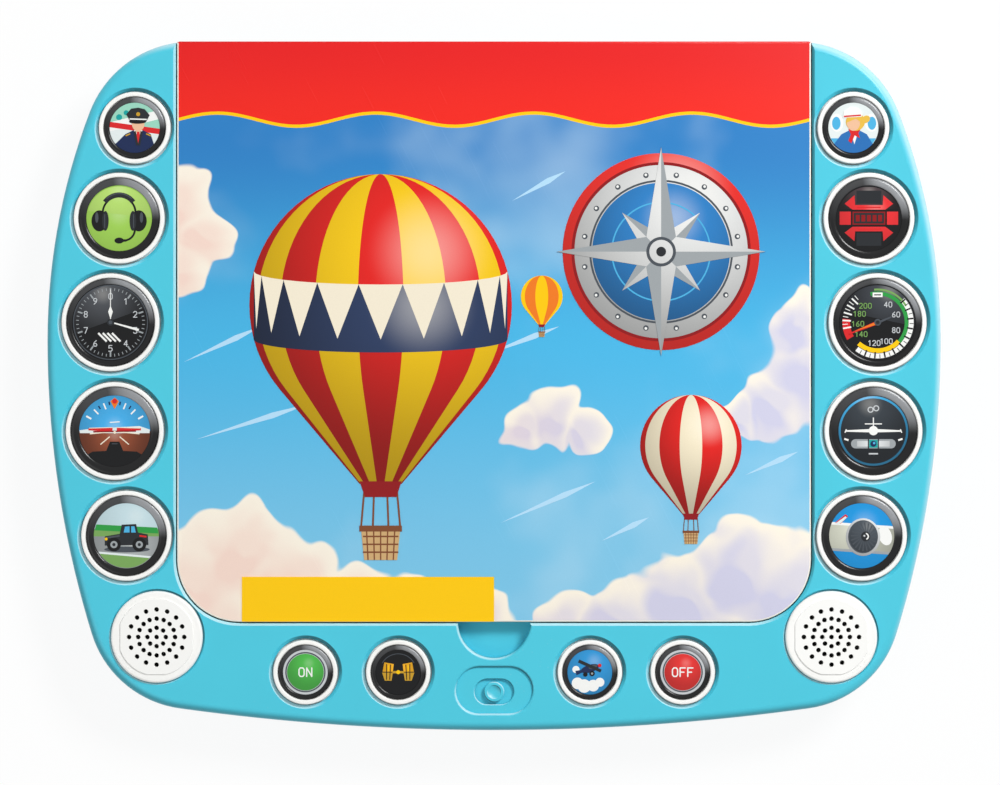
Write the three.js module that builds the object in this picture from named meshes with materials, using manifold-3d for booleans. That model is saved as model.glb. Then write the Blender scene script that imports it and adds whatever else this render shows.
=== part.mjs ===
// Sound book: a board book in the open-topped tray of a plastic console with round sound buttons,
// two speakers and a slide switch. Millimetres, lying on its back: +X right, +Y towards the book's
// spine, +Z out of the cover. The origin is the centre of the underside's box.
import * as THREE from "three";
import { mergeVertices } from "three/addons/utils/BufferGeometryUtils.js";
import Module from "manifold-3d";

const wasm = await Module();
wasm.setup();

// Console outline: a flat top and five tangent arcs on each side. Its width and length follow
// from the book, the buttons and these margins.
const sideMargin = 5.1;
const topMargin = 0.2;
const bottomMargin = 5.8;
const widestY = 15.4;
const topCornerRadius = 36.5;
const upperSideRadius = 214;
const lowerSideRadius = 335;
const bottomCornerRadius = 36;
const bottomRadius = 770;
const frontEdgeRadius = 3;
const rearEdgeRadius = 2.5;

// Mouldings.
const partingHeight = 10;
const shellWall = 2.2;
const rearFloor = 2;
const lipHeight = 2;
const lipThickness = 1.2;
const fitGap = 0.3;

// Board book and its tray.
const bookWidth = 212.5;
const bookEndSpace = 13.8;
const bookCornerRadius = 20.8;
const trayClearance = 0.4;
const trayWall = 0.8;
const trayFloor = 1.5;
const coverBoard = 2;
const spineThickness = 2;
const hingeGap = 0.15;
const leafCount = 5;
const leafThickness = 1.2;
const leafInset = 1;
const leafGroove = 0.35;
const leafGrooveDepth = 0.5;
const notchRadius = 12.1;
const notchDepth = 7;
const notchWall = 1;

// Button caps by their radius. A side column runs from the spine down, and each row has the space
// above its cap and the space between book and cap. The book is as long as its column needs.
const topCap = 12;
const secondCap = 15.2;
const dialCap = 16.4;
const lowCap = 15.1;
const bottomCap = 10.8;
const capRing = 1.7;
const topSpace = 16.9;
const secondSpace = 3.1;
const dialSpace = 3.3;
const lowSpace = 3.6;
const topBeside = 2.15;
const secondBeside = 4.15;
const thirdBeside = 5.85;
const fourthBeside = 4.45;
const fifthBeside = 1.85;
const sideRows = [
  { above: topSpace, beside: topBeside, cap: topCap },
  { above: secondSpace, beside: secondBeside, cap: secondCap },
  { above: dialSpace, beside: thirdBeside, cap: dialCap },
  { above: lowSpace, beside: fourthBeside, cap: dialCap },
  { above: lowSpace, beside: fifthBeside, cap: lowCap },
];
// Bottom buttons: two on each side of the switch recess.
const bottomRowGap = 6;
const bottomButtonGap = 9.5;
const switchButtonGap = 8.55;
const buttonTravel = 1.5;
const buttonGap = 0.4;
const capProud = 1.4;
const capFloor = 1.2;
const capPocket = 1.8;
const capSkirt = 1.2;
const flangeWidth = 1;
const flangeThickness = 0.9;
const plungerRadius = 3;
const labelGap = 0.2;
const labelFloor = 0.8;
const labelRimWidth = 1.8;
const labelRimHeight = 1.3;
const labelCrown = 0.2;

// Rubber mats and circuit boards under the buttons.
const domeRadius = 3.6;
const domeTopRadius = 2.4;
const domeHeight = 2.5;
const matThickness = 1;
const matMargin = 6;
const boardDrop = 10.9;
const boardThickness = 1.6;
const boardMargin = 8;
const boardEndMargin = 10;
const boardTrayGap = 1.5;
const postRadius = 2.5;
const chipRadius = 5;
const chipHeight = 1.2;

// Speakers and their grilles. A grille stands off the tray's rounded corner.
const speakerBearing = THREE.MathUtils.degToRad(-43.1);
const speakerMargin = 0.35;
const grilleRadius = 15.4;
const grilleSeatGap = 0.2;
const grilleSeatDepth = 1.2;
const grilleProud = 1.5;
const grillePlate = 1.7;
const grilleEdge = 0.9;
const spigotRadius = 12.6;
const spigotWall = 0.8;
const plateRadius = 13;
const plateFlat = 12.3;
const plateFlatBottom = 12.6;
const plateHeight = 0.5;
const holeRadius = 0.79;
const holePitch = 3.08;
const holeRings = [1, 8, 16, 16];
const speakerRadius = 13.6;
const speakerRim = 1.2;
const speakerDepth = 10;
const speakerRimWidth = 1.7;
const coneDepth = 3.4;
const dustCapRadius = 4.5;
const magnetRadius = 8;
const magnetHeight = 4.5;
const speakerRingWall = 1;
const speakerRingDepth = 3;

// Slide switch.
const notchSwitchGap = 3.2;
const recessLength = 25.5;
const recessWidth = 15.4;
const recessDepth = 1.1;
const slotLength = 13.1;
const slotWidth = 8.4;
const slotDrop = 0.5;
const knobRadius = 3.45;
const knobBaseLength = 20;
const knobBaseWidth = 10.4;
const knobBaseThickness = 1.2;
const knobStemRadius = 1.4;
const switchTravel = 2.2;
const switchBodyLength = 12;
const switchBodyWidth = 6;
const switchBodyHeight = 4;
const leverDepth = 1.5;
const switchMatGap = 1;
const knobDrop = 0.5;

// Battery bay in the rear cover, with its screwed door.
const bayMargin = 2.25;
const bayWall = 1.2;
const bayRoof = 0.8;
const doorThickness = 1.8;
const tongueLength = 3;
const tongueWidth = 16;
const batteryLength = 44.5;
const batteryRadius = 5.25;
const batterySpace = 1.5;
const batteryNub = 1;
const nubRadius = 1.9;
const contactThickness = 0.5;
const contactHalf = 4.5;
const contactSpace = 1;
const springLength = 1.8;
const springRadius = 2.6;
const studRadius = 1.6;
const doorScrewInset = 5.5;

// Screws.
const screwHeadRadius = 2.6;
const screwHeadHeight = 1.5;
const screwShankRadius = 1.3;
const driveLength = 1.6;
const driveWidth = 0.35;
const driveDepth = 0.8;
const screwSink = 1.2;
const screwLength = 15;
const doorScrewLength = 8;
const bossRadius = 3.6;
const topScrewDrop = 12.1;
const topScrewShift = 6.9;
const bottomScrewShift = 22.8;
const bottomScrewDrop = 1.1;

// Facets of round pieces.
const arcStep = THREE.MathUtils.degToRad(13);
const flatArcStep = THREE.MathUtils.degToRad(5.5);
const roundSegments = 16;
const wideSegments = 24;
const smallSegments = 10;
const holeSegments = 6;
const throughCut = 1;

// Heights that follow from the values above: battery bay, tray, book and face.
const bayCeiling = rearFloor + fitGap + 2 * batteryRadius + fitGap;
const trayTop = bayCeiling + bayRoof + fitGap + trayFloor;
const backBottom = trayTop + fitGap;
const backTop = backBottom + coverBoard;
const blockBottom = backTop + fitGap;
const blockTop = blockBottom + leafCount * leafThickness + (leafCount - 1) * leafGroove;
const coverBottom = blockTop + fitGap;
const faceHeight = coverBottom + coverBoard;
const wallUnderside = faceHeight - shellWall;
const flangeTop = wallUnderside - fitGap;
const flangeBottom = flangeTop - flangeThickness;
const boardTop = wallUnderside - boardDrop;
const matTop = boardTop + fitGap + matThickness;
const domeTop = matTop + domeHeight;
const plungerBottom = domeTop + buttonTravel + fitGap;
const capTop = faceHeight + capProud;
const pocketFloor = capTop - capPocket;

// Places that follow from them.
const bottomBorder = notchRadius + notchSwitchGap + recessWidth + bottomMargin;
const bookLength = sideRows.reduce((sum, row) => sum + row.above + 2 * row.cap, bookEndSpace);
const consoleLength = topMargin + bookLength + bottomBorder;
const spineY = consoleLength / 2 - topMargin;
const bookBottomY = spineY - bookLength;
const switchY = bookBottomY - notchRadius - notchSwitchGap - recessWidth / 2;
const knobY = switchY - slotDrop;
const trayEdgeX = bookWidth / 2 + trayClearance + trayWall;
const sideButtons = [];
let rowTop = spineY;
for (const row of sideRows) {
  const y = rowTop - row.above - row.cap;
  sideButtons.push({ x: bookWidth / 2 + row.beside + row.cap, y, cap: row.cap });
  rowTop = y - row.cap;
}
const consoleWidth = 2 * (Math.max(...sideButtons.map((b) => b.x + b.cap)) + sideMargin);
const bottomRowY = bookBottomY - bottomRowGap - bottomCap;
const innerButtonX = recessLength / 2 + switchButtonGap + bottomCap;
const outerButtonX = innerButtonX + 2 * bottomCap + bottomButtonGap;
const bottomButtons = [-outerButtonX, -innerButtonX, innerButtonX, outerButtonX].map((x) => ({
  x,
  y: bottomRowY,
  cap: bottomCap,
}));
const speakerReach = bookCornerRadius + trayClearance + trayWall + speakerMargin + grilleRadius;
const speakerX = bookWidth / 2 - bookCornerRadius + speakerReach * Math.cos(speakerBearing);
const speakerY = bookBottomY + bookCornerRadius + speakerReach * Math.sin(speakerBearing);
const topScrewX = sideButtons[0].x - topScrewShift;
const topScrewY = consoleLength / 2 - topScrewDrop;
const bottomScrewX = outerButtonX + bottomScrewShift;
const bottomScrewY = bottomRowY - bottomScrewDrop;
const screwSpots = [
  [topScrewX, topScrewY],
  [-topScrewX, topScrewY],
  [bottomScrewX, bottomScrewY],
  [-bottomScrewX, bottomScrewY],
];
const batteryPitch = 2 * batteryRadius + batterySpace;
const bayWidth = batteryPitch + 2 * (batteryRadius + bayMargin);
const cellRoom = 2 * (fitGap + contactThickness + springLength + fitGap) + batteryLength;
const bayLength = cellRoom + bayWall + 2 * doorScrewInset;

const palette = {
  turquoise: { color: 0x4fc8de, roughness: 0.35 },
  rearTurquoise: { color: 0x47bcd2, roughness: 0.5 },
  white: { color: 0xf4f5f3, roughness: 0.3 },
  label: { color: 0x17181a, roughness: 0.15 },
  coverPrint: { color: 0x4aa9dc, roughness: 0.25 },
  pageBoard: { color: 0xf3efe4, roughness: 0.7 },
  spinePrint: { color: 0xe9302a, roughness: 0.3 },
  circuit: { color: 0x2f6b3c, roughness: 0.5 },
  silicone: { color: 0xd8d8d2, roughness: 0.8 },
  speaker: { color: 0x2a2b2d, roughness: 0.6 },
  steel: { color: 0xb9bbbd, roughness: 0.3, metalness: 1 },
  battery: { color: 0x3a4a8a, roughness: 0.4, metalness: 0.4 },
  darkPlastic: { color: 0x1f2022, roughness: 0.5 },
};
const materials = {};
for (const [name, values] of Object.entries(palette)) {
  materials[name] = new THREE.MeshStandardMaterial({ ...values, name });
}

// Solids: a closed geometry as something that can be cut and joined, and back again.
function solidOf(geometry) {
  const bare = new THREE.BufferGeometry();
  const flat = geometry.index ? geometry.toNonIndexed() : geometry;
  bare.setAttribute("position", flat.getAttribute("position").clone());
  const merged = mergeVertices(bare, 1e-4);
  const triVerts = new Uint32Array(merged.index.array);
  const vertProperties = new Float32Array(merged.attributes.position.array);
  const made = new wasm.Manifold(new wasm.Mesh({ numProp: 3, vertProperties, triVerts }));
  if (made.volume() >= 0) {
    return made;
  }
  for (let i = 0; i < triVerts.length; i += 3) {
    [triVerts[i + 1], triVerts[i + 2]] = [triVerts[i + 2], triVerts[i + 1]];
  }
  return new wasm.Manifold(new wasm.Mesh({ numProp: 3, vertProperties, triVerts }));
}

function geometryOf(solid) {
  const mesh = solid.getMesh();
  const positions = new Float32Array(mesh.numVert * 3);
  for (let i = 0; i < mesh.numVert; i += 1) {
    const start = i * mesh.numProp;
    positions.set(mesh.vertProperties.subarray(start, start + 3), i * 3);
  }
  const geometry = new THREE.BufferGeometry();
  geometry.setAttribute("position", new THREE.BufferAttribute(positions, 3));
  geometry.setIndex(new THREE.BufferAttribute(new Uint32Array(mesh.triVerts), 1));
  return geometry;
}

function joined(solids) {
  return solids.reduce((whole, next) => whole.add(next));
}

function without(solid, cuts) {
  return cuts.reduce((rest, cut) => rest.subtract(cut), solid);
}

function box(xMin, xMax, yMin, yMax, zMin, zMax) {
  const geometry = new THREE.BoxGeometry(xMax - xMin, yMax - yMin, zMax - zMin);
  geometry.translate((xMin + xMax) / 2, (yMin + yMax) / 2, (zMin + zMax) / 2);
  return solidOf(geometry);
}

function disc(x, y, radius, zMin, zMax, segments = roundSegments, topRadius = radius) {
  const geometry = new THREE.CylinderGeometry(topRadius, radius, zMax - zMin, segments);
  geometry.rotateX(Math.PI / 2);
  geometry.translate(x, y, (zMin + zMax) / 2);
  return solidOf(geometry);
}

// A turned piece: profile points are [radius, height], and the axis stands at x, y.
function turned(x, y, profile, segments = roundSegments) {
  const points = profile.map(([r, z]) => new THREE.Vector2(r, z));
  const geometry = new THREE.LatheGeometry(points, segments);
  geometry.rotateX(Math.PI / 2);
  geometry.translate(x, y, 0);
  return solidOf(geometry);
}

function plate(points, zMin, zMax) {
  const depth = zMax - zMin;
  const geometry = new THREE.ExtrudeGeometry(new THREE.Shape(points), { depth, bevelEnabled: false });
  geometry.translate(0, 0, zMin);
  return solidOf(geometry);
}

// A solid through rings of equally many points, each ring at its own height.
function stack(rings) {
  const count = rings[0].points.length;
  const positions = rings.flatMap(({ points, z }) => points.flatMap((p) => [p.x, p.y, z]));
  const index = [];
  for (let k = 0; k + 1 < rings.length; k += 1) {
    for (let i = 0; i < count; i += 1) {
      const a = k * count + i;
      const b = k * count + ((i + 1) % count);
      index.push(a, b, b + count, a, b + count, a + count);
    }
  }
  const last = rings.length - 1;
  for (const [i, j, k] of THREE.ShapeUtils.triangulateShape(rings[0].points, [])) {
    index.push(i, k, j);
  }
  for (const [i, j, k] of THREE.ShapeUtils.triangulateShape(rings[last].points, [])) {
    index.push(last * count + i, last * count + j, last * count + k);
  }
  const geometry = new THREE.BufferGeometry();
  geometry.setAttribute("position", new THREE.Float32BufferAttribute(positions, 3));
  geometry.setIndex(index);
  return solidOf(geometry);
}

function arcPoints(centre, radius, from, to, steps) {
  const points = [];
  for (let i = 0; i <= steps; i += 1) {
    const angle = from + ((to - from) * i) / steps;
    points.push(
      new THREE.Vector2(centre.x + radius * Math.cos(angle), centre.y + radius * Math.sin(angle)),
    );
  }
  return points;
}

// The console's outline, drawn counter-clockwise and set in by a distance all round.
function consoleOutline(inset) {
  const top = consoleLength / 2;
  const upper = new THREE.Vector2(consoleWidth / 2 - upperSideRadius, widestY);
  const lower = new THREE.Vector2(consoleWidth / 2 - lowerSideRadius, widestY);
  const bottom = new THREE.Vector2(0, -top + bottomRadius);
  const topReach = upperSideRadius - topCornerRadius;
  const topTurn = Math.asin((top - topCornerRadius - widestY) / topReach);
  const topCorner = new THREE.Vector2(upper.x + topReach * Math.cos(topTurn), top - topCornerRadius);
  // The bottom corner's centre lies at a known distance from both arcs that it joins.
  const sideReach = lowerSideRadius - bottomCornerRadius;
  const bottomReach = bottomRadius - bottomCornerRadius;
  const span = bottom.clone().sub(lower);
  const distance = span.length();
  const cosine = (sideReach ** 2 + distance ** 2 - bottomReach ** 2) / (2 * sideReach * distance);
  const sideTurn = span.angle() - Math.acos(cosine);
  const corner = new THREE.Vector2(
    lower.x + sideReach * Math.cos(sideTurn),
    lower.y + sideReach * Math.sin(sideTurn),
  );
  const cornerTurn = Math.atan2(corner.y - bottom.y, corner.x - bottom.x);
  const arcs = [
    [corner, bottomCornerRadius, cornerTurn, sideTurn, arcStep],
    [lower, lowerSideRadius, sideTurn, 0, flatArcStep],
    [upper, upperSideRadius, 0, topTurn, flatArcStep],
    [topCorner, topCornerRadius, topTurn, Math.PI / 2, arcStep],
  ];
  const right = arcPoints(bottom, bottomRadius - inset, -Math.PI / 2, cornerTurn, 2);
  for (const [centre, radius, from, to, step] of arcs) {
    const steps = Math.max(2, Math.ceil((to - from) / step));
    right.push(...arcPoints(centre, radius - inset, from, to, steps).slice(1));
  }
  const left = right
    .slice(1)
    .reverse()
    .map((p) => new THREE.Vector2(-p.x, p.y));
  return [...right, ...left];
}

// A block with the console's outline whose upper or lower edge is rounded.
function roundedRings(radius, edgeZ, inward) {
  const steps = 3;
  const rings = [];
  for (let i = 0; i <= steps; i += 1) {
    const angle = (i / steps) * (Math.PI / 2);
    const inset = radius * (1 - Math.cos(angle));
    rings.push({ points: consoleOutline(inset), z: edgeZ - inward * radius * (1 - Math.sin(angle)) });
  }
  return rings;
}

// The book's outline, grown all round; the top edge can be put elsewhere.
function bookOutline(grow, topY = spineY) {
  const half = bookWidth / 2 + grow;
  const radius = bookCornerRadius + grow;
  const low = bookBottomY - grow;
  const steps = 5;
  const right = new THREE.Vector2(half - radius, low + radius);
  const left = new THREE.Vector2(-half + radius, low + radius);
  return [
    ...arcPoints(left, radius, Math.PI, 1.5 * Math.PI, steps),
    ...arcPoints(right, radius, 1.5 * Math.PI, 2 * Math.PI, steps),
    new THREE.Vector2(half, topY),
    new THREE.Vector2(-half, topY),
  ];
}

function stadium(y, length, width) {
  const reach = (length - width) / 2;
  const steps = 6;
  return [
    ...arcPoints(new THREE.Vector2(reach, y), width / 2, -Math.PI / 2, Math.PI / 2, steps),
    ...arcPoints(new THREE.Vector2(-reach, y), width / 2, Math.PI / 2, 1.5 * Math.PI, steps),
  ];
}

const group = new THREE.Group();
function addPiece(name, solid, materialName) {
  const mesh = new THREE.Mesh(geometryOf(solid), materials[materialName]);
  mesh.name = name;
  group.add(mesh);
}

const columns = {
  left: sideButtons.map((b) => ({ ...b, x: -b.x })),
  right: sideButtons,
  bottom: bottomButtons,
};
const allButtons = [...columns.left, ...columns.right, ...columns.bottom];

// Front shell.
function frontShell() {
  const outer = stack([
    { points: consoleOutline(0), z: partingHeight },
    ...roundedRings(frontEdgeRadius, faceHeight, 1),
  ]);
  const beyondTop = consoleLength / 2 + throughCut;
  const beyondFace = faceHeight + throughCut;
  const trayBlock = plate(
    bookOutline(trayClearance + trayWall, beyondTop),
    trayTop - trayFloor,
    faceHeight,
  );
  const notchFloor = faceHeight - notchDepth;
  const notchBlock = disc(0, bookBottomY, notchRadius + notchWall, notchFloor - notchWall, faceHeight);
  const inside = stack([
    { points: consoleOutline(shellWall), z: partingHeight - throughCut },
    { points: consoleOutline(shellWall), z: wallUnderside },
  ]);
  const speakerRings = [-speakerX, speakerX].map((x) => {
    const low = wallUnderside - speakerRingDepth;
    const ring = disc(x, speakerY, speakerRadius + fitGap + speakerRingWall, low, faceHeight - throughCut);
    return ring.subtract(disc(x, speakerY, speakerRadius + fitGap, low - throughCut, wallUnderside));
  });
  const bosses = screwSpots.map(([x, y]) =>
    disc(x, y, bossRadius, partingHeight + fitGap, faceHeight - throughCut, smallSegments),
  );
  const hollow = without(inside, [trayBlock, notchBlock, ...speakerRings, ...bosses]);
  const trayCut = plate(
    bookOutline(trayClearance, beyondTop + throughCut),
    trayTop,
    faceHeight + throughCut,
  );
  const notchCut = disc(0, bookBottomY, notchRadius, notchFloor, beyondFace, wideSegments);
  const buttonHoles = allButtons.map((b) =>
    disc(b.x, b.y, b.cap + buttonGap, wallUnderside - throughCut / 2, faceHeight + throughCut),
  );
  const seats = [-speakerX, speakerX].flatMap((x) => [
    disc(x, speakerY, grilleRadius + grilleSeatGap, faceHeight - grilleSeatDepth, beyondFace, wideSegments),
    disc(x, speakerY, spigotRadius + fitGap, wallUnderside - throughCut, beyondFace, wideSegments),
  ]);
  const recess = plate(
    stadium(switchY, recessLength, recessWidth),
    faceHeight - recessDepth,
    faceHeight + throughCut,
  );
  const slot = plate(
    stadium(knobY, slotLength, slotWidth),
    wallUnderside - throughCut,
    faceHeight + throughCut,
  );
  const pilotTop = screwSink + screwHeadHeight + screwLength + throughCut;
  const pilots = screwSpots.map(([x, y]) =>
    disc(x, y, screwShankRadius + fitGap, partingHeight - throughCut, pilotTop, smallSegments),
  );
  return without(outer, [hollow, trayCut, notchCut, ...buttonHoles, ...seats, recess, slot, ...pilots]);
}
addPiece("front_shell", frontShell(), "turquoise");

// Rear cover with the battery bay, the screw bosses and the posts that carry the boards.
const bayLeft = -bayLength / 2;
const bayRight = bayLength / 2;
const bayHalf = bayWidth / 2;
const dividerX = bayRight - 2 * doorScrewInset - bayWall;
const doorScrewX = bayRight - doorScrewInset;

function boardPosts() {
  const spots = [];
  for (const side of [-1, 1]) {
    for (const row of [0, 1, 2, 3]) {
      const above = sideButtons[row];
      const below = sideButtons[row + 1];
      spots.push([(side * (above.x + below.x)) / 2, (above.y + below.y) / 2]);
    }
  }
  return [...spots, ...bottomButtons.map((b) => [b.x, b.y])];
}

function rearCover() {
  const rounded = roundedRings(rearEdgeRadius, 0, -1).reverse();
  const outer = stack([...rounded, { points: consoleOutline(0), z: partingHeight - fitGap / 3 }]);
  const inside = stack([
    { points: consoleOutline(shellWall), z: rearFloor },
    { points: consoleOutline(shellWall), z: partingHeight + throughCut },
  ]);
  const lipInset = shellWall + fitGap;
  const lipOuter = stack([
    { points: consoleOutline(lipInset), z: partingHeight - 2 * lipHeight },
    { points: consoleOutline(lipInset), z: partingHeight + lipHeight },
  ]);
  const lipInner = stack([
    { points: consoleOutline(lipInset + lipThickness), z: partingHeight - 3 * lipHeight },
    { points: consoleOutline(lipInset + lipThickness), z: partingHeight + 2 * lipHeight },
  ]);
  const footRing = stack([
    { points: consoleOutline(shellWall - throughCut), z: partingHeight - 2 * lipHeight },
    { points: consoleOutline(shellWall - throughCut), z: partingHeight - lipHeight },
  ]);
  const lip = lipOuter.add(footRing).subtract(lipInner);
  const posts = boardPosts().map(([x, y]) =>
    disc(x, y, postRadius, rearFloor / 2, boardTop - boardThickness - fitGap, smallSegments),
  );
  const bosses = screwSpots.map(([x, y]) =>
    disc(x, y, bossRadius, rearFloor / 2, partingHeight, smallSegments),
  );
  const bay = box(
    bayLeft - bayWall,
    bayRight + bayWall,
    -bayHalf - bayWall,
    bayHalf + bayWall,
    rearFloor / 2,
    bayCeiling + bayRoof,
  );
  const bayInside = box(bayLeft, bayRight, -bayHalf, bayHalf, -throughCut, bayCeiling);
  const divider = box(
    dividerX,
    dividerX + bayWall,
    -bayHalf - bayWall / 2,
    bayHalf + bayWall / 2,
    rearFloor + fitGap,
    bayCeiling + bayRoof / 2,
  );
  const doorBoss = disc(
    doorScrewX,
    0,
    bossRadius,
    rearFloor + fitGap,
    bayCeiling + bayRoof / 2,
    smallSegments,
  );
  const screwCuts = screwSpots.flatMap(([x, y]) => [
    disc(x, y, screwHeadRadius + fitGap, -throughCut, screwSink + screwHeadHeight, smallSegments),
    disc(x, y, screwShankRadius + fitGap, -throughCut, partingHeight + throughCut, smallSegments),
  ]);
  const doorPilot = disc(
    doorScrewX,
    0,
    screwShankRadius + fitGap,
    -throughCut,
    doorScrewLength + screwSink + throughCut,
    smallSegments,
  );
  const tongueSlot = box(
    bayLeft - tongueLength - fitGap,
    bayLeft + fitGap,
    -tongueWidth / 2 - fitGap,
    tongueWidth / 2 + fitGap,
    rearFloor,
    rearFloor + doorThickness / 2 + 2 * fitGap,
  );
  const shell = joined([outer.subtract(inside), lip, bay, ...posts, ...bosses]);
  const open = without(shell, [bayInside, tongueSlot]);
  return without(joined([open, divider, doorBoss]), [...screwCuts, doorPilot]);
}
addPiece("rear_cover", rearCover(), "rearTurquoise");

// Battery door: a plate with a tongue at one end and a countersunk screw hole at the other.
function batteryDoor() {
  const panel = box(
    bayLeft + fitGap,
    bayRight - fitGap,
    -bayHalf + fitGap,
    bayHalf - fitGap,
    fitGap / 2,
    doorThickness,
  );
  const riser = box(
    bayLeft + fitGap,
    bayLeft + fitGap + coverBoard,
    -tongueWidth / 2,
    tongueWidth / 2,
    doorThickness / 2,
    rearFloor + fitGap + doorThickness / 2,
  );
  const tongue = box(
    bayLeft - tongueLength,
    bayLeft + fitGap + coverBoard,
    -tongueWidth / 2,
    tongueWidth / 2,
    rearFloor + fitGap,
    rearFloor + fitGap + doorThickness / 2,
  );
  return without(joined([panel, riser, tongue]), [
    disc(doorScrewX, 0, screwShankRadius + fitGap, -throughCut, rearFloor + throughCut, smallSegments),
    disc(doorScrewX, 0, screwHeadRadius + fitGap, -throughCut, screwSink, smallSegments),
  ]);
}
addPiece("battery_door", batteryDoor(), "rearTurquoise");

// Screws, heads down. Each head bears on the bottom of its counterbore with the fit gap.
function screw(x, y, headTop, length) {
  const headBottom = headTop - screwHeadHeight;
  const driveTop = headBottom + driveDepth;
  const head = disc(x, y, screwHeadRadius, headBottom, headTop, smallSegments);
  const shank = disc(x, y, screwShankRadius, headTop - fitGap, headTop + length, smallSegments);
  const below = headBottom - throughCut;
  const drive = joined([
    box(x - driveLength, x + driveLength, y - driveWidth, y + driveWidth, below, driveTop),
    box(x - driveWidth, x + driveWidth, y - driveLength, y + driveLength, below, driveTop),
  ]);
  return head.add(shank).subtract(drive);
}
screwSpots.forEach(([x, y], i) => {
  const headTop = screwSink + screwHeadHeight - fitGap;
  addPiece("case_screw_" + (i + 1), screw(x, y, headTop, screwLength), "steel");
});

// The door's screw has a flat head that lies in the door's counterbore.
function doorScrew() {
  const headTop = screwSink - fitGap;
  const head = disc(doorScrewX, 0, screwHeadRadius, fitGap / 2, headTop, smallSegments);
  const shank = disc(
    doorScrewX,
    0,
    screwShankRadius,
    headTop - fitGap,
    headTop + doorScrewLength,
    smallSegments,
  );
  const slot = box(
    doorScrewX - driveLength,
    doorScrewX + driveLength,
    -driveWidth,
    driveWidth,
    -throughCut,
    fitGap / 2 + driveWidth,
  );
  return head.add(shank).subtract(slot);
}
addPiece("battery_door_screw", doorScrew(), "steel");

// Two cells side by side along X, with a bridging spring contact and two end contacts.
const cellLeft = bayLeft + fitGap + contactThickness + springLength + fitGap;
const cellRight = cellLeft + batteryLength;
const cellZ = rearFloor + fitGap + batteryRadius;
const endPlateX = dividerX - fitGap - contactThickness;

function alongX(xMin, xMax, y, z, radius, segments = smallSegments) {
  const geometry = new THREE.CylinderGeometry(radius, radius, xMax - xMin, segments);
  geometry.rotateZ(Math.PI / 2);
  geometry.translate((xMin + xMax) / 2, y, z);
  return solidOf(geometry);
}

[-1, 1].forEach((side, i) => {
  const y = (side * batteryPitch) / 2;
  const plusAtRight = side < 0;
  const bodyStart = plusAtRight ? cellLeft : cellLeft + batteryNub;
  const bodyEnd = plusAtRight ? cellRight - batteryNub : cellRight;
  const nubStart = plusAtRight ? bodyEnd - fitGap : cellLeft;
  const nubEnd = plusAtRight ? cellRight : bodyStart + fitGap;
  const cell = alongX(bodyStart, bodyEnd, y, cellZ, batteryRadius, roundSegments);
  addPiece("battery_" + (i + 1), cell.add(alongX(nubStart, nubEnd, y, cellZ, nubRadius)), "battery");
});

const tongueTop = rearFloor + fitGap + doorThickness / 2;

function contactPlate(x, yMin, yMax) {
  return box(x, x + contactThickness, yMin, yMax, tongueTop + fitGap, bayCeiling - fitGap);
}
const contactReach = batteryPitch / 2 + contactHalf;
addPiece(
  "contact_bridge",
  joined([
    contactPlate(bayLeft + fitGap, -contactReach, contactReach),
    alongX(bayLeft + fitGap, cellLeft - fitGap, -batteryPitch / 2, cellZ, springRadius),
    alongX(bayLeft + fitGap, cellLeft - fitGap, batteryPitch / 2, cellZ, studRadius),
  ]),
  "steel",
);
addPiece(
  "contact_plus",
  joined([
    contactPlate(endPlateX, -contactReach, -contactSpace),
    alongX(cellRight + fitGap, endPlateX + contactThickness / 2, -batteryPitch / 2, cellZ, studRadius),
  ]),
  "steel",
);
addPiece(
  "contact_minus",
  joined([
    contactPlate(endPlateX, contactSpace, contactReach),
    alongX(cellRight + fitGap, endPlateX + contactThickness / 2, batteryPitch / 2, cellZ, springRadius),
  ]),
  "steel",
);

// Circuit boards and rubber mats. A side strip follows its column of buttons.
function stripOutline(column, margin, endMargin) {
  const side = Math.sign(column[0].x);
  const inner = side * (trayEdgeX + boardTrayGap);
  const first = column[0];
  const last = column[column.length - 1];
  const outer = column.map((b) => new THREE.Vector2(b.x + side * margin, b.y));
  outer[0].y = first.y + endMargin;
  outer[outer.length - 1].y = last.y - endMargin;
  return [
    new THREE.Vector2(inner, last.y - endMargin),
    new THREE.Vector2(inner, first.y + endMargin),
    ...outer,
  ];
}

function matSolid(points, buttons) {
  const sheet = plate(points, boardTop + fitGap, matTop);
  const domes = buttons.map((b) =>
    disc(b.x, b.y, domeRadius, matTop - fitGap, domeTop, smallSegments, domeTopRadius),
  );
  return joined([sheet, ...domes]);
}

for (const side of ["left", "right"]) {
  const column = columns[side];
  const boardOutline = stripOutline(column, boardMargin, boardEndMargin);
  addPiece(side + "_key_board", plate(boardOutline, boardTop - boardThickness, boardTop), "circuit");
  addPiece(side + "_keypad", matSolid(stripOutline(column, matMargin, matMargin), column), "silicone");
}

function rectangle(xHalf, yMin, yMax) {
  return [
    new THREE.Vector2(-xHalf, yMin),
    new THREE.Vector2(xHalf, yMin),
    new THREE.Vector2(xHalf, yMax),
    new THREE.Vector2(-xHalf, yMax),
  ];
}
const mainBoardOutline = rectangle(
  outerButtonX + boardMargin,
  bottomRowY - boardEndMargin,
  bottomRowY + boardEndMargin,
);
const boardUnderside = boardTop - boardThickness;
const chipX = (innerButtonX + outerButtonX) / 2;
const chip = disc(
  chipX,
  bottomRowY,
  chipRadius,
  boardUnderside - chipHeight,
  boardUnderside + fitGap,
  smallSegments,
);
addPiece("main_board", plate(mainBoardOutline, boardUnderside, boardTop).add(chip), "circuit");
const switchClear = switchBodyLength / 2 + switchMatGap;
const matCut = box(
  -switchClear,
  switchClear,
  bottomRowY - 2 * matMargin,
  knobY + switchBodyWidth / 2 + switchMatGap,
  boardTop,
  domeTop,
);
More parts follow.
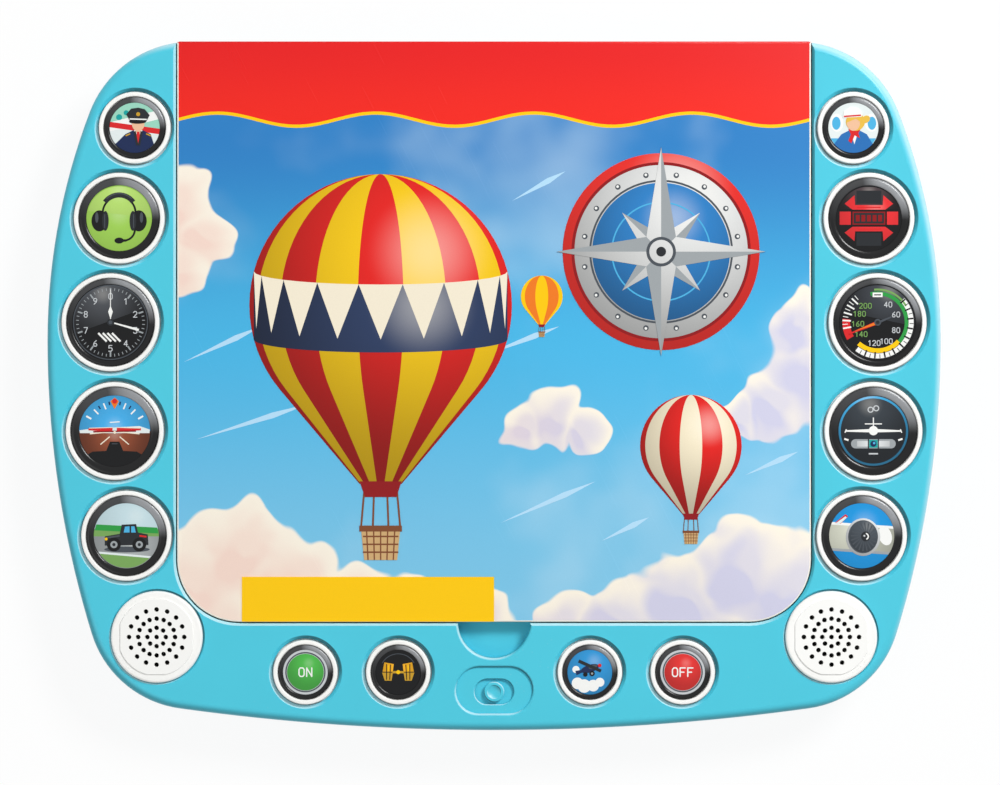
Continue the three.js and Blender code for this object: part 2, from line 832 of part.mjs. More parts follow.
const bottomMat = matSolid(
  rectangle(outerButtonX + matMargin, bottomRowY - matMargin, bottomRowY + matMargin),
  bottomButtons,
);
addPiece("bottom_keypad", bottomMat.subtract(matCut), "silicone");

// Button caps and labels. A cap's flange is cut flat where the tray wall passes it.
function buttonCap(b) {
  const pocket = b.cap - capRing + labelGap;
  const skirtInner = b.cap - capSkirt;
  const cap = turned(b.x, b.y, [
    [0, plungerBottom],
    [plungerRadius, plungerBottom],
    [plungerRadius, pocketFloor - capFloor],
    [skirtInner, pocketFloor - capFloor],
    [skirtInner, flangeBottom],
    [b.cap + flangeWidth, flangeBottom],
    [b.cap + flangeWidth, flangeTop],
    [b.cap, flangeTop],
    [b.cap, capTop - capProud / 2],
    [(b.cap + pocket) / 2, capTop],
    [pocket, capTop - labelGap],
    [pocket, pocketFloor],
    [0, pocketFloor],
  ]);
  if (Math.abs(b.x) < trayEdgeX) {
    return cap;
  }
  const side = Math.sign(b.x);
  const wallX = side * (trayEdgeX + fitGap);
  const reach = b.cap + 2 * flangeWidth;
  return cap.subtract(
    box(
      Math.min(0, wallX),
      Math.max(0, wallX),
      b.y - reach,
      b.y + reach,
      flangeBottom - throughCut,
      flangeTop + fitGap / 3,
    ),
  );
}

function buttonLabel(b) {
  const base = pocketFloor + labelGap;
  const rim = b.cap - capRing;
  const face = rim - labelRimWidth;
  return turned(b.x, b.y, [
    [0, base],
    [rim, base],
    [rim, base + labelRimHeight],
    [face, base + labelFloor],
    [0, base + labelFloor + labelCrown],
  ]);
}

for (const [side, column] of Object.entries(columns)) {
  column.forEach((b, i) => {
    addPiece(side + "_button_" + (i + 1), buttonCap(b), "white");
    addPiece(side + "_label_" + (i + 1), buttonLabel(b), "label");
  });
}

// Speakers and grilles.
function grille(x) {
  const seat = faceHeight - grilleSeatDepth + grilleSeatGap;
  const top = faceHeight + grilleProud;
  const underside = top - grillePlate;
  const body = turned(x, speakerY, [
    [0, underside],
    [spigotRadius - spigotWall, underside],
    [spigotRadius - spigotWall, wallUnderside],
    [spigotRadius, wallUnderside],
    [spigotRadius, seat],
    [grilleRadius, seat],
    [grilleRadius, top - grilleEdge],
    [grilleRadius - grilleEdge, top],
    [0, top],
  ], wideSegments);
  const round = disc(x, speakerY, plateRadius, top - fitGap, top + plateHeight, wideSegments);
  const flats = box(
    x - plateFlat,
    x + plateFlat,
    speakerY - plateFlatBottom,
    speakerY + plateRadius,
    top - throughCut,
    top + throughCut,
  );
  const holes = [];
  holeRings.forEach((count, ring) => {
    for (let i = 0; i < count; i += 1) {
      const angle = (i / count) * 2 * Math.PI;
      const holeX = x + ring * holePitch * Math.cos(angle);
      const holeY = speakerY + ring * holePitch * Math.sin(angle);
      holes.push(disc(holeX, holeY, holeRadius, underside - throughCut, top + throughCut, holeSegments));
    }
  });
  return body.add(round.intersect(flats)).subtract(joined(holes));
}

function speaker(x) {
  const top = wallUnderside - fitGap;
  return turned(x, speakerY, [
    [0, top - speakerDepth],
    [magnetRadius, top - speakerDepth],
    [magnetRadius, top - speakerDepth + magnetHeight],
    [speakerRadius - speakerRimWidth, top - 2 * speakerRim],
    [speakerRadius, top - speakerRim],
    [speakerRadius, top],
    [speakerRadius - speakerRimWidth, top],
    [dustCapRadius, top - coneDepth],
    [0, top - coneDepth / 2],
  ]);
}
for (const [side, x] of [
  ["left", -speakerX],
  ["right", speakerX],
]) {
  addPiece(side + "_speaker_grille", grille(x), "white");
  addPiece(side + "_speaker", speaker(x), "speaker");
}

// Slide switch: the knob's base plate slides under the recess floor, its stem enters the body.
const knobBaseTop = wallUnderside - fitGap;
const knobBaseBottom = knobBaseTop - knobBaseThickness;
const switchBodyTop = boardTop + fitGap + switchBodyHeight;
const knob = joined([
  plate(stadium(knobY, knobBaseLength, knobBaseWidth), knobBaseBottom, knobBaseTop),
  disc(0, knobY, knobRadius, knobBaseTop - fitGap, faceHeight - knobDrop),
  disc(0, knobY, knobStemRadius, switchBodyTop - leverDepth, knobBaseBottom + fitGap, smallSegments),
]);
addPiece("switch_knob", knob, "turquoise");
const leverSlot = switchTravel + knobStemRadius + fitGap;
addPiece(
  "switch_body",
  box(
    -switchBodyLength / 2,
    switchBodyLength / 2,
    knobY - switchBodyWidth / 2,
    knobY + switchBodyWidth / 2,
    boardTop + fitGap,
    switchBodyTop,
  ).subtract(
    box(
      -leverSlot,
      leverSlot,
      knobY - knobStemRadius - fitGap,
      knobY + knobStemRadius + fitGap,
      switchBodyTop - leverDepth - fitGap,
      switchBodyTop + throughCut,
    ),
  ),
  "darkPlastic",
);

// Board book: back board on the tray floor, page block, spine strip and the hinged front board.
const blockTopY = spineY - spineThickness - fitGap;
addPiece("cover_front", plate(bookOutline(0), coverBottom, faceHeight), "coverPrint");
addPiece("cover_back", plate(bookOutline(0, blockTopY), backBottom, backTop), "coverPrint");
const halfBook = bookWidth / 2;
addPiece(
  "book_spine",
  box(-halfBook, halfBook, spineY - spineThickness, spineY, backBottom, coverBottom - 2 * hingeGap),
  "spinePrint",
);
const leafPitch = leafThickness + leafGroove;
const leafEdge = bookOutline(-leafInset, blockTopY);
const leafWaist = bookOutline(-leafInset - leafGrooveDepth, blockTopY - leafGrooveDepth);
const blockRings = [];
for (let leaf = 0; leaf < leafCount; leaf += 1) {
  const low = blockBottom + leaf * leafPitch;
  blockRings.push({ points: leafEdge, z: low }, { points: leafEdge, z: low + leafThickness });
  if (leaf < leafCount - 1) {
    blockRings.push({ points: leafWaist, z: low + leafThickness + leafGroove / 2 });
  }
}
addPiece("page_block", stack(blockRings), "pageBoard");

export default group;
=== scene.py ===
import math
import bpy
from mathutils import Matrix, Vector


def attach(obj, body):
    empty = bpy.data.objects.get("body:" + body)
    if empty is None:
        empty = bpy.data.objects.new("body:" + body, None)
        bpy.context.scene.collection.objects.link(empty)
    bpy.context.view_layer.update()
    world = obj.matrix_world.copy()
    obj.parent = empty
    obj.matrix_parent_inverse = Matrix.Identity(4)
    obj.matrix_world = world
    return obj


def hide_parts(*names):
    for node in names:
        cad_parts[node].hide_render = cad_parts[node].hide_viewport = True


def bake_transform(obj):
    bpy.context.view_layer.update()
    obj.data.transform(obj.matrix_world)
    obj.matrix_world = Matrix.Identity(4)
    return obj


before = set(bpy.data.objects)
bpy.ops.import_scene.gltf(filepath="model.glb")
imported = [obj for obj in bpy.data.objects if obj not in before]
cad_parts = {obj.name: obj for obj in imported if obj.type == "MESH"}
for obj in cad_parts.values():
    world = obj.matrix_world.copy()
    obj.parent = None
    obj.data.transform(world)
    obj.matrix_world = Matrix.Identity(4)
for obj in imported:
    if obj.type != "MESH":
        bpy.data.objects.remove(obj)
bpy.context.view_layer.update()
scene = bpy.context.scene
mm = 0.001  # every length below is in millimetres until it becomes a mesh
print("frame loaded:", len(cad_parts), "nodes")


# Small helpers for meshes

def arcPoints(x, y, radius, first, last, steps):
    angles = [first + (last - first) / steps * i for i in range(steps + 1)]
    return [(x + radius * math.cos(angle), y + radius * math.sin(angle)) for angle in angles]


def circlePoints(x, y, radius, count):
    return arcPoints(x, y, radius, 0.0, 2 * math.pi, count)[:-1]


def quarterRound(steps):
    # how far in and how far down an edge of radius one lies as it rounds over
    angles = [i / steps * math.pi / 2 for i in range(steps + 1)]
    return [(1 - math.cos(angle), 1 - math.sin(angle)) for angle in angles]


def ringStack(rings):
    # a closed body through rings of equally many points, each at its own height
    count = len(rings[0][0])
    verts = [(x, y, z) for points, z in rings for x, y in points]
    faces = [tuple(reversed(range(count)))]
    for low in range(0, len(verts) - count, count):
        for i in range(count):
            j = (i + 1) % count
            faces.append((low + i, low + j, low + count + j, low + count + i))
    faces.append(tuple(range(len(verts) - count, len(verts))))
    return verts, faces


def turnedBody(x, y, profile, segments=96):
    # the profile runs from the axis at the bottom, outwards and up, back to the axis at the top
    verts, faces, rings = [], [], []
    for radius, z in profile:
        points = circlePoints(x, y, radius, segments) if radius > 1e-6 else [(x, y)]
        rings.append(range(len(verts), len(verts) + len(points)))
        verts += [(px, py, z) for px, py in points]
    for lower, upper in zip(rings, rings[1:]):
        for i in range(segments):
            j = (i + 1) % segments
            if len(lower) == 1:
                faces.append((lower[0], upper[j], upper[i]))
            elif len(upper) == 1:
                faces.append((lower[i], lower[j], upper[0]))
            else:
                faces.append((lower[i], lower[j], upper[j], upper[i]))
    return verts, faces


def shadeSmooth(piece, angle=35):
    mesh = piece.data
    mesh.polygons.foreach_set("use_smooth", [True] * len(mesh.polygons))
    mesh.set_sharp_from_angle(angle=math.radians(angle))


def makeObject(name, body, materials=(), smoothAngle=35):
    verts, faces = body
    mesh = bpy.data.meshes.new(name)
    mesh.from_pydata([(x * mm, y * mm, z * mm) for x, y, z in verts], [], faces)
    mesh.validate()
    mesh.update()
    for material in materials:
        mesh.materials.append(material)
    piece = bpy.data.objects.new(name, mesh)
    scene.collection.objects.link(piece)
    shadeSmooth(piece, smoothAngle)
    return piece


def evenNormals(piece):
    weighted = piece.modifiers.new("evenNormals", "WEIGHTED_NORMAL")
    weighted.keep_sharp = True
    weighted.weight = 100


def applyModifiers(piece):
    graph = bpy.context.evaluated_depsgraph_get()
    mesh = bpy.data.meshes.new_from_object(piece.evaluated_get(graph))
    piece.modifiers.clear()
    old = piece.data
    piece.data = mesh
    mesh.name = piece.name
    bpy.data.meshes.remove(old)


def cutBodies(piece, cutters):
    # takes each cutter out of the piece, and deletes the cutters
    folder = bpy.data.collections.new("cutters")
    scene.collection.children.link(folder)
    for cutter in cutters:
        scene.collection.objects.unlink(cutter)
        folder.objects.link(cutter)
    cut = piece.modifiers.new("cut", "BOOLEAN")
    cut.operation = "DIFFERENCE"
    cut.solver = "EXACT"
    cut.operand_type = "COLLECTION"
    cut.collection = folder
    applyModifiers(piece)
    for cutter in cutters:
        bpy.data.objects.remove(cutter)
    bpy.data.collections.remove(folder)


def joinBodies(piece, others):
    for other in others:
        join = piece.modifiers.new("join", "BOOLEAN")
        join.operation = "UNION"
        join.solver = "EXACT"
        join.object = other
        applyModifiers(piece)
        bpy.data.objects.remove(other)


def place(piece, body, slotName, *replaced):
    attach(piece, body)
    if replaced:
        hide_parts(*replaced)


# Shader helpers

def setInputs(tree, node, inputs):
    for key, value in inputs.items():
        if isinstance(value, bpy.types.NodeSocket):
            tree.links.new(value, node.inputs[key])
        else:
            node.inputs[key].default_value = value


def addNode(tree, kind, inputs=None, **settings):
    node = tree.nodes.new("ShaderNode" + kind)
    for key, value in settings.items():
        setattr(node, key, value)
    setInputs(tree, node, inputs or {})
    return node


def mathNode(tree, operation, a, b=0.0, c=0.0, clamp=False):
    return addNode(tree, "Math", {0: a, 1: b, 2: c}, operation=operation, use_clamp=clamp).outputs[0]


def vectorNode(tree, operation, *values):
    node = addNode(tree, "VectorMath", dict(enumerate(values)), operation=operation)
    return node.outputs["Value" if operation in ("DISTANCE", "DOT_PRODUCT") else "Vector"]


def mixColour(tree, factor, a, b):
    return addNode(tree, "Mix", {0: factor, 6: a, 7: b}, data_type="RGBA").outputs[2]


def scaleColour(tree, colour, factor):
    # multiplies a colour by a value that is near one
    if not isinstance(colour, bpy.types.NodeSocket):
        colour = colour[:3]
    return addNode(tree, "VectorMath", {0: colour, "Scale": factor}, operation="SCALE").outputs[0]


def ramp(tree, value, low, high, lowOut=0.0, highOut=1.0):
    return addNode(tree, "MapRange", {"Value": value, "From Min": low, "From Max": high, "To Min": lowOut,
                                      "To Max": highOut}, interpolation_type="SMOOTHSTEP").outputs["Result"]


def noise(tree, where, scale, detail=2.0, rough=0.5):
    return addNode(tree, "TexNoise", {"Vector": where, "Scale": scale, "Detail": detail,
                                      "Roughness": rough}).outputs["Fac"]


def coordinates(tree, kind="Object"):
    return addNode(tree, "TexCoord").outputs[kind]


def bumped(tree, height, strength, depth):
    return addNode(tree, "Bump", {"Strength": strength, "Distance": depth * mm, "Height": height}).outputs[0]


def newGroup(name, inputs, outputs):
    group = bpy.data.node_groups.new(name, "ShaderNodeTree")
    for socketName, value in inputs.items():
        socket = group.interface.new_socket(name=socketName, in_out="INPUT", socket_type="NodeSocketFloat")
        socket.default_value = value
    for socketName in outputs:
        group.interface.new_socket(name=socketName, in_out="OUTPUT", socket_type="NodeSocketFloat")
    return group, group.nodes.new("NodeGroupInput").outputs, group.nodes.new("NodeGroupOutput")


def placeGroup(tree, group, **values):
    node = tree.nodes.new("ShaderNodeGroup")
    node.node_tree = group
    setInputs(tree, node, values)
    return node.outputs


def linearColour(code):
    # a web colour as linear red, green, blue and alpha
    channels = [int(code[i:i + 2], 16) / 255 for i in (1, 3, 5)]
    return tuple(c / 12.92 if c <= 0.04045 else ((c + 0.055) / 1.055) ** 2.4 for c in channels) + (1.0,)


def shade(colour, factor):
    return tuple(c * factor for c in colour[:3]) + (1.0,)


# Shared effects: mould grain, fine scratches, settled dust, print grain, and painted shade and painted highlight on
# edges by the side they turn to

def buildMouldGrain():
    group, given, result = newGroup("mouldGrain", {"Scale": 900.0, "Mottle": 0.05}, ["Height", "Tone"])
    here = coordinates(group)
    swing = mathNode(group, "SUBTRACT", noise(group, here, 38.0), 0.5)
    setInputs(group, result, {"Height": noise(group, here, given["Scale"], 3.0, 0.6),
                              "Tone": mathNode(group, "MULTIPLY_ADD", swing, given["Mottle"], 1.0)})
    return group


def buildScratches():
    group, given, result = newGroup("scratches", {"Density": 1.0, "Angle": 0.4}, ["Mask"])
    here = coordinates(group)
    turned = addNode(group, "VectorRotate", {"Vector": here, "Angle": given["Angle"]}).outputs[0]
    stretched = addNode(group, "Mapping", {"Vector": turned, "Scale": (18.0, 900.0, 40.0)}).outputs[0]
    sharp = ramp(group, noise(group, stretched, 1.0, 1.0), 0.66, 0.74)
    patches = ramp(group, noise(group, here, 24.0), 0.45, 0.65)
    both = mathNode(group, "MULTIPLY", sharp, patches)
    setInputs(group, result, {"Mask": mathNode(group, "MULTIPLY", both, given["Density"], clamp=True)})
    return group


def buildDust():
    group, given, result = newGroup("settledDust", {"Scale": 420.0, "Amount": 0.3}, ["Mask"])
    here = coordinates(group)
    specks = addNode(group, "TexVoronoi", {"Vector": here, "Scale": given["Scale"]}).outputs["Distance"]
    mask = mathNode(group, "MULTIPLY", ramp(group, specks, 0.16, 0.06),
                    ramp(group, noise(group, here, 30.0), 0.52, 0.72))
    setInputs(group, result, {"Mask": mathNode(group, "MULTIPLY", mask, given["Amount"])})
    return group


def buildPrintGrain():
    group, given, result = newGroup("printGrain", {"Scale": 2600.0, "Strength": 0.06}, ["Tone", "Height"])
    here = coordinates(group)
    swing = mathNode(group, "SUBTRACT", noise(group, here, given["Scale"], 1.0), 0.5)
    setInputs(group, result, {"Tone": mathNode(group, "MULTIPLY_ADD", swing, given["Strength"], 1.0),
                              "Height": noise(group, here, 160.0)})
    return group


lampSide = (0.62, 0.78)  # the side that the key lamp stands on, seen from above


def buildEdgeTone():
    # paints shade on edges that turn away from the lamp and paints a highlight on edges that turn towards it
    group, given, result = newGroup("paintedEdgeLight", {"Dark": 0.5, "Pale": 0.4}, ["Shade", "PaintedHighlight"])
    parts = addNode(group, "SeparateXYZ", {0: coordinates(group, "Normal")}).outputs
    towards = mathNode(group, "MULTIPLY_ADD", parts["X"], lampSide[0],
                       mathNode(group, "MULTIPLY", parts["Y"], lampSide[1]))
    upward = ramp(group, parts["Z"], 0.1, 0.45)
    for name, low, high, amount in (("Shade", -0.12, -0.6, "Dark"), ("PaintedHighlight", 0.12, 0.6, "Pale")):
        turned = mathNode(group, "MULTIPLY", ramp(group, towards, low, high), upward)
        setInputs(group, result, {name: mathNode(group, "MULTIPLY", turned, given[amount])})
    return group


mouldGrain = buildMouldGrain()
scratches = buildScratches()
settledDust = buildDust()
printGrain = buildPrintGrain()
paintedEdgeLight = buildEdgeTone()
print("shared effects built")


# Materials

def newMaterial(name):
    material = bpy.data.materials.new(name)
    material.use_nodes = True
    return material, material.node_tree, material.node_tree.nodes["Principled BSDF"]


def mouldedPlastic(name, code, rough, grainScale=900.0, grainDepth=0.02, dust=0.15, coat=0.0, dark=0.0, pale=0.0):
    material, tree, shader = newMaterial(name)
    colour = linearColour(code)
    grain = placeGroup(tree, mouldGrain, Scale=grainScale, Mottle=0.06)
    lines = placeGroup(tree, scratches, Density=0.6)["Mask"]
    specks = placeGroup(tree, settledDust, Amount=dust)["Mask"]
    toned = scaleColour(tree, colour, grain["Tone"])
    # dark and pale set the painted shade on edges turned away from the lamp and the painted highlight on edges turned
    # towards it
    if dark or pale:
        paintedEdges = placeGroup(tree, paintedEdgeLight, Dark=dark, Pale=pale)
        toned = mixColour(tree, paintedEdges["Shade"], toned, shade(colour, 0.2))
        toned = mixColour(tree, paintedEdges["PaintedHighlight"], toned, linearColour("#E2FAFF"))
    roughness = mathNode(tree, "MULTIPLY_ADD", lines, 0.12, rough)
    setInputs(tree, shader, {
        "Base Color": mixColour(tree, specks, toned, linearColour("#E4E2DC")),
        "Roughness": mathNode(tree, "MULTIPLY_ADD", specks, 0.4, roughness),
        "Normal": bumped(tree, grain["Height"], 0.25, grainDepth),
        "Specular IOR Level": 0.3, "Coat Weight": coat, "Coat Roughness": 0.08})
    return material


def printedInk(name, code, gloss=0.22):
    material, tree, shader = newMaterial(name)
    grain = placeGroup(tree, printGrain)
    setInputs(tree, shader, {"Base Color": scaleColour(tree, linearColour(code), grain["Tone"]), "Roughness": gloss,
                             "Specular IOR Level": 0.2, "Normal": bumped(tree, grain["Height"], 0.08, 0.02)})
    return material


def airbrushedInk(name, code, highlight, reach, dark=0.35, glow=1.25, gloss=0.22, shine=0.3):
    # a printed colour that brightens towards one spot of the cover and darkens away from it
    material, tree, shader = newMaterial(name)
    colour = linearColour(code)
    grain = placeGroup(tree, printGrain)
    spotPlace = (highlight[0] * mm, highlight[1] * mm, console["face"] * mm)
    away = vectorNode(tree, "DISTANCE", coordinates(tree), spotPlace)
    colours = mixColour(tree, ramp(tree, away, 0.0, reach * mm), shade(colour, glow), shade(colour, dark))
    spot = ramp(tree, away, reach * 0.28 * mm, 0.0)
    lit = mixColour(tree, mathNode(tree, "MULTIPLY", spot, shine), colours, (1.0, 0.97, 0.9, 1.0))
    setInputs(tree, shader, {"Base Color": scaleColour(tree, lit, grain["Tone"]), "Roughness": gloss,
                             "Specular IOR Level": 0.2})
    return material


def gleamingBlack(name, base, bright, spread=0.45):
    # black with a painted highlight where the ring faces the lamp, by the direction from the middle of the piece, and
    # painted lighter towards its top
    material, tree, shader = newMaterial(name)
    away = vectorNode(tree, "SUBTRACT", coordinates(tree, "Generated"), (0.5, 0.5, 0.5))
    unit = vectorNode(tree, "NORMALIZE", vectorNode(tree, "MULTIPLY", away, (1.0, 1.0, 0.0)))
    beam = ramp(tree, vectorNode(tree, "DOT_PRODUCT", unit, lampSide + (0.0,)), 1.0 - spread, 1.0)
    grain = placeGroup(tree, mouldGrain, Scale=1500.0, Mottle=0.5)
    # painted highlight on the lamp side, broken up by grain, and a painted lightening towards the top of the ring
    paintedGleam = mathNode(tree, "MULTIPLY", beam, grain["Tone"], clamp=True)
    upper = ramp(tree, addNode(tree, "SeparateXYZ", {0: unit}).outputs["Y"], -0.2, 1.0, 0.0, 0.1)
    mask = mathNode(tree, "MAXIMUM", mathNode(tree, "MULTIPLY", paintedGleam, 0.62), upper)
    specks = placeGroup(tree, settledDust, Amount=0.05)["Mask"]
    setInputs(tree, shader, {"Base Color": mixColour(tree, mask, linearColour(base), linearColour(bright)),
                             "Roughness": mathNode(tree, "MULTIPLY_ADD", specks, 0.4, 0.2),
                             "Specular IOR Level": 0.3})
    return material


def metalFinish(name, code, rough):
    material, tree, shader = newMaterial(name)
    grain = placeGroup(tree, mouldGrain, Scale=1600.0, Mottle=0.12)
    lines = placeGroup(tree, scratches, Density=1.0)["Mask"]
    setInputs(tree, shader, {"Base Color": scaleColour(tree, linearColour(code), grain["Tone"]), "Metallic": 1.0,
                             "Roughness": mathNode(tree, "MULTIPLY_ADD", lines, 0.15, rough)})
    return material


finishes = {
    # dark and pale here are the amounts of painted edge shade and painted edge highlight
    "turquoise": mouldedPlastic("turquoisePlastic", "#4DC8DE", 0.32, 620.0, 0.03, 0.05, dark=0.85, pale=0.6),
    "turquoiseRim": mouldedPlastic("turquoiseRimPlastic", "#4DC8DE", 0.32, 620.0, 0.03, 0.05, dark=0.38, pale=0.5),
    "turquoiseBack": mouldedPlastic("turquoiseBackPlastic", "#48BFD6", 0.5, 1500.0, 0.08, 0.1, dark=0.3, pale=0.1),
    "white": mouldedPlastic("whitePlastic", "#FAFAF7", 0.25, 700.0, 0.02, 0.02),
    "bezel": gleamingBlack("bezelBlack", "#08090B", "#B9BCC0"),
    "pageBoard": mouldedPlastic("pageBoard", "#EFEBDF", 0.75, 2200.0, 0.1, 0.0),
    "circuit": mouldedPlastic("solderMask", "#2F6B3C", 0.4),
    "silicone": mouldedPlastic("silicone", "#D3D3CC", 0.8),
    "blackPlastic": mouldedPlastic("blackPlastic", "#1D1E20", 0.45),
    "steel": metalFinish("platedSteel", "#C2C4C6", 0.28),
    "jacket": mouldedPlastic("cellJacket", "#33437F", 0.3, 800.0, 0.02, 0.0, 0.4),
}
print("plastics and metals mixed")


# Studio: white floor, soft lamps and a camera straight above, as in the photograph
# (the floor's size and the lamps' places and sizes are in metres, their power is in watts)

studio = {"frameWidth": 335.2, "centreX": 2.0, "centreY": -2.2, "height": 1500.0, "sharpHeight": 28.0, "sensor": 36.0,
          "floorSize": 4.0, "floorGap": 0.2, "floorWhite": 0.95, "glowShare": 0.91, "skyLight": 0.36,
          "lamps": {"keySoftbox": ((0.68, 0.7, 1.17), 0.42, 17.0), "fillSoftbox": ((-0.9, -0.5, 1.1), 1.0, 3.4)}}
pureWhite = (1.0, 1.0, 1.0, 1.0)


def seenDirectly(tree, share):
    # a share for rays that reach the camera straight, by a mirror or through glass
    rays = addNode(tree, "LightPath").outputs
    mirrored = mathNode(tree, "MAXIMUM", rays["Is Glossy Ray"], rays["Is Transmission Ray"])
    return mathNode(tree, "MULTIPLY", mathNode(tree, "MAXIMUM", rays["Is Camera Ray"], mirrored), share)


def mixShaders(tree, share, first, second, output):
    mixed = addNode(tree, "MixShader", {0: share, 1: first.outputs[0], 2: second.outputs[0]})
    tree.links.new(mixed.outputs[0], tree.nodes[output].inputs["Surface"])


def buildFloor():
    bpy.ops.mesh.primitive_plane_add(size=studio["floorSize"], location=(0, 0, -studio["floorGap"] * mm))
    floor = bpy.context.object
    floor.name = "floor"
    material, tree, shader = newMaterial("floorPaper")
    setInputs(tree, shader, {"Base Color": (studio["floorWhite"],) * 3 + (1.0,), "Roughness": 0.9})
    glow = addNode(tree, "Emission", {"Color": pureWhite, "Strength": 1.0})
    mixShaders(tree, seenDirectly(tree, studio["glowShare"]), shader, glow, "Material Output")
    floor.data.materials.append(material)


def buildRoom():
    scene.world = bpy.data.worlds.new("paleRoom")
    scene.world.use_nodes = True
    air = scene.world.node_tree
    sky = air.nodes["Background"]
    setInputs(air, sky, {"Color": pureWhite, "Strength": studio["skyLight"]})
    bright = addNode(air, "Background", {"Color": pureWhite, "Strength": 1.0})
    mixShaders(air, seenDirectly(air, 1.0), sky, bright, "World Output")


def addCamera():
    camera = bpy.data.objects.new("camera", bpy.data.cameras.new("camera"))
    scene.collection.objects.link(camera)
    camera.location = (studio["centreX"] * mm, studio["centreY"] * mm, studio["height"] * mm)
    camera.data.sensor_width = studio["sensor"]
    camera.data.lens = studio["sensor"] * (studio["height"] - studio["sharpHeight"]) / studio["frameWidth"]
    scene.camera = camera
    scene.view_settings.view_transform = "Standard"


def addLamp(name, location, size, power):
    lamp = bpy.data.lights.new(name, "AREA")
    lamp.shape = "SQUARE"
    lamp.size = size
    lamp.energy = power
    holder = bpy.data.objects.new(name, lamp)
    scene.collection.objects.link(holder)
    holder.location = location
    holder.rotation_euler = (-Vector(location)).to_track_quat("-Z", "Y").to_euler()


buildFloor()
buildRoom()
for name, (location, size, power) in studio["lamps"].items():
    addLamp(name, location, size, power)
addCamera()
print("studio set")


# Console mouldings

console = {"width": 300.0, "length": 231.2, "widestY": 15.4, "topCorner": 36.5, "upperSide": 214.0,
           "lowerSide": 335.0, "bottomCorner": 36.0, "bottomArc": 770.0, "face": 28.0, "parting": 10.0,
           "frontEdge": 3.0, "rearEdge": 2.5, "wall": 2.2, "holeEdge": 1.1, "trayEdge": 0.9, "recessEdge": 1.0,
           "seatEdge": 0.5, "notchEdge": 1.1, "capGap": 0.4}
book = {"width": 212.5, "length": 194.5, "corner": 20.8, "spineY": 115.4, "clearance": 0.4, "trayWall": 0.8,
        "trayTop": 15.7, "trayFloor": 1.5, "board": 2.0, "notchRadius": 12.1, "notchDepth": 7.0, "notchWall": 1.0}
# each side row: the gap above the cap, the gap beside it and the cap's radius
sideRows = [(16.9, 2.15, 12.0), (3.1, 4.15, 15.2), (3.3, 5.85, 16.4), (3.6, 4.45, 16.4), (3.6, 1.85, 15.1)]
bottomRow = {"cap": 10.8, "y": -95.9, "inner": 32.1, "outer": 63.2}


def buttonPlaces():
    spots = []
    top = book["spineY"]
    for row, (above, beside, cap) in enumerate(sideRows):
        y = top - above - cap
        x = book["width"] / 2 + beside + cap
        spots.append(("left", row + 1, -x, y, cap))
        spots.append(("right", row + 1, x, y, cap))
        top = y - cap
    for i, x in enumerate((-bottomRow["outer"], -bottomRow["inner"], bottomRow["inner"], bottomRow["outer"])):
        spots.append(("bottom", i + 1, x, bottomRow["y"], bottomRow["cap"]))
    return spots


buttons = buttonPlaces()


def consoleOutline(inset):
    top = console["length"] / 2
    half = console["width"] / 2
    upperX = half - console["upperSide"]
    lowerX = half - console["lowerSide"]
    middle = console["widestY"]
    bottomY = console["bottomArc"] - top
    topReach = console["upperSide"] - console["topCorner"]
    topTurn = math.asin((top - console["topCorner"] - middle) / topReach)
    topX = upperX + topReach * math.cos(topTurn)
    sideReach = console["lowerSide"] - console["bottomCorner"]
    bottomReach = console["bottomArc"] - console["bottomCorner"]
    spanX = -lowerX
    spanY = bottomY - middle
    distance = math.hypot(spanX, spanY)
    cosine = (sideReach ** 2 + distance ** 2 - bottomReach ** 2) / (2 * sideReach * distance)
    sideTurn = math.atan2(spanY, spanX) - math.acos(cosine)
    cornerX = lowerX + sideReach * math.cos(sideTurn)
    cornerY = middle + sideReach * math.sin(sideTurn)
    cornerTurn = math.atan2(cornerY - bottomY, cornerX)
    arcs = [(0.0, bottomY, console["bottomArc"], -math.pi / 2, cornerTurn, 0.5),
            (cornerX, cornerY, console["bottomCorner"], cornerTurn, sideTurn, 4.0),
            (lowerX, middle, console["lowerSide"], sideTurn, 0.0, 1.0),
            (upperX, middle, console["upperSide"], 0.0, topTurn, 1.5),
            (topX, top - console["topCorner"], console["topCorner"], topTurn, math.pi / 2, 4.0)]
    right = []
    for x, y, radius, first, last, stepDegrees in arcs:
        steps = max(2, math.ceil(math.degrees(last - first) / stepDegrees))
        right += arcPoints(x, y, radius - inset, first, last, steps)[1 if right else 0:]
    return right + [(-x, y) for x, y in reversed(right[1:])]


def bookOutline(grow, topY=None, steps=14):
    half = book["width"] / 2 + grow
    radius = book["corner"] + grow
    low = book["spineY"] - book["length"] - grow
    top = book["spineY"] if topY is None else topY
    return (arcPoints(-half + radius, low + radius, radius, math.pi, 1.5 * math.pi, steps)
            + arcPoints(half - radius, low + radius, radius, 1.5 * math.pi, 2 * math.pi, steps)
            + [(half, top), (-half, top)])


def stadium(y, length, width, steps=16):
    reach = (length - width) / 2
    return (arcPoints(reach, y, width / 2, -math.pi / 2, math.pi / 2, steps)
            + arcPoints(-reach, y, width / 2, math.pi / 2, 1.5 * math.pi, steps))


def roundedRim(outlineAt, radius, edgeZ, steps=7):
    # rings that round a top edge over: from the wall to the face
    return [(outlineAt(radius * inward), edgeZ - radius * down) for inward, down in quarterRound(steps)]


def flaredCut(outlineAt, floorZ, edge, faceZ, steps=6):
    # a cutter whose mouth widens, so that it leaves a rounded edge
    return makeObject("cut", ringStack([(outlineAt(0.0), floorZ)] + roundedRim(outlineAt, edge, faceZ, steps)
                                       + [(outlineAt(edge), faceZ + 2.0)]))


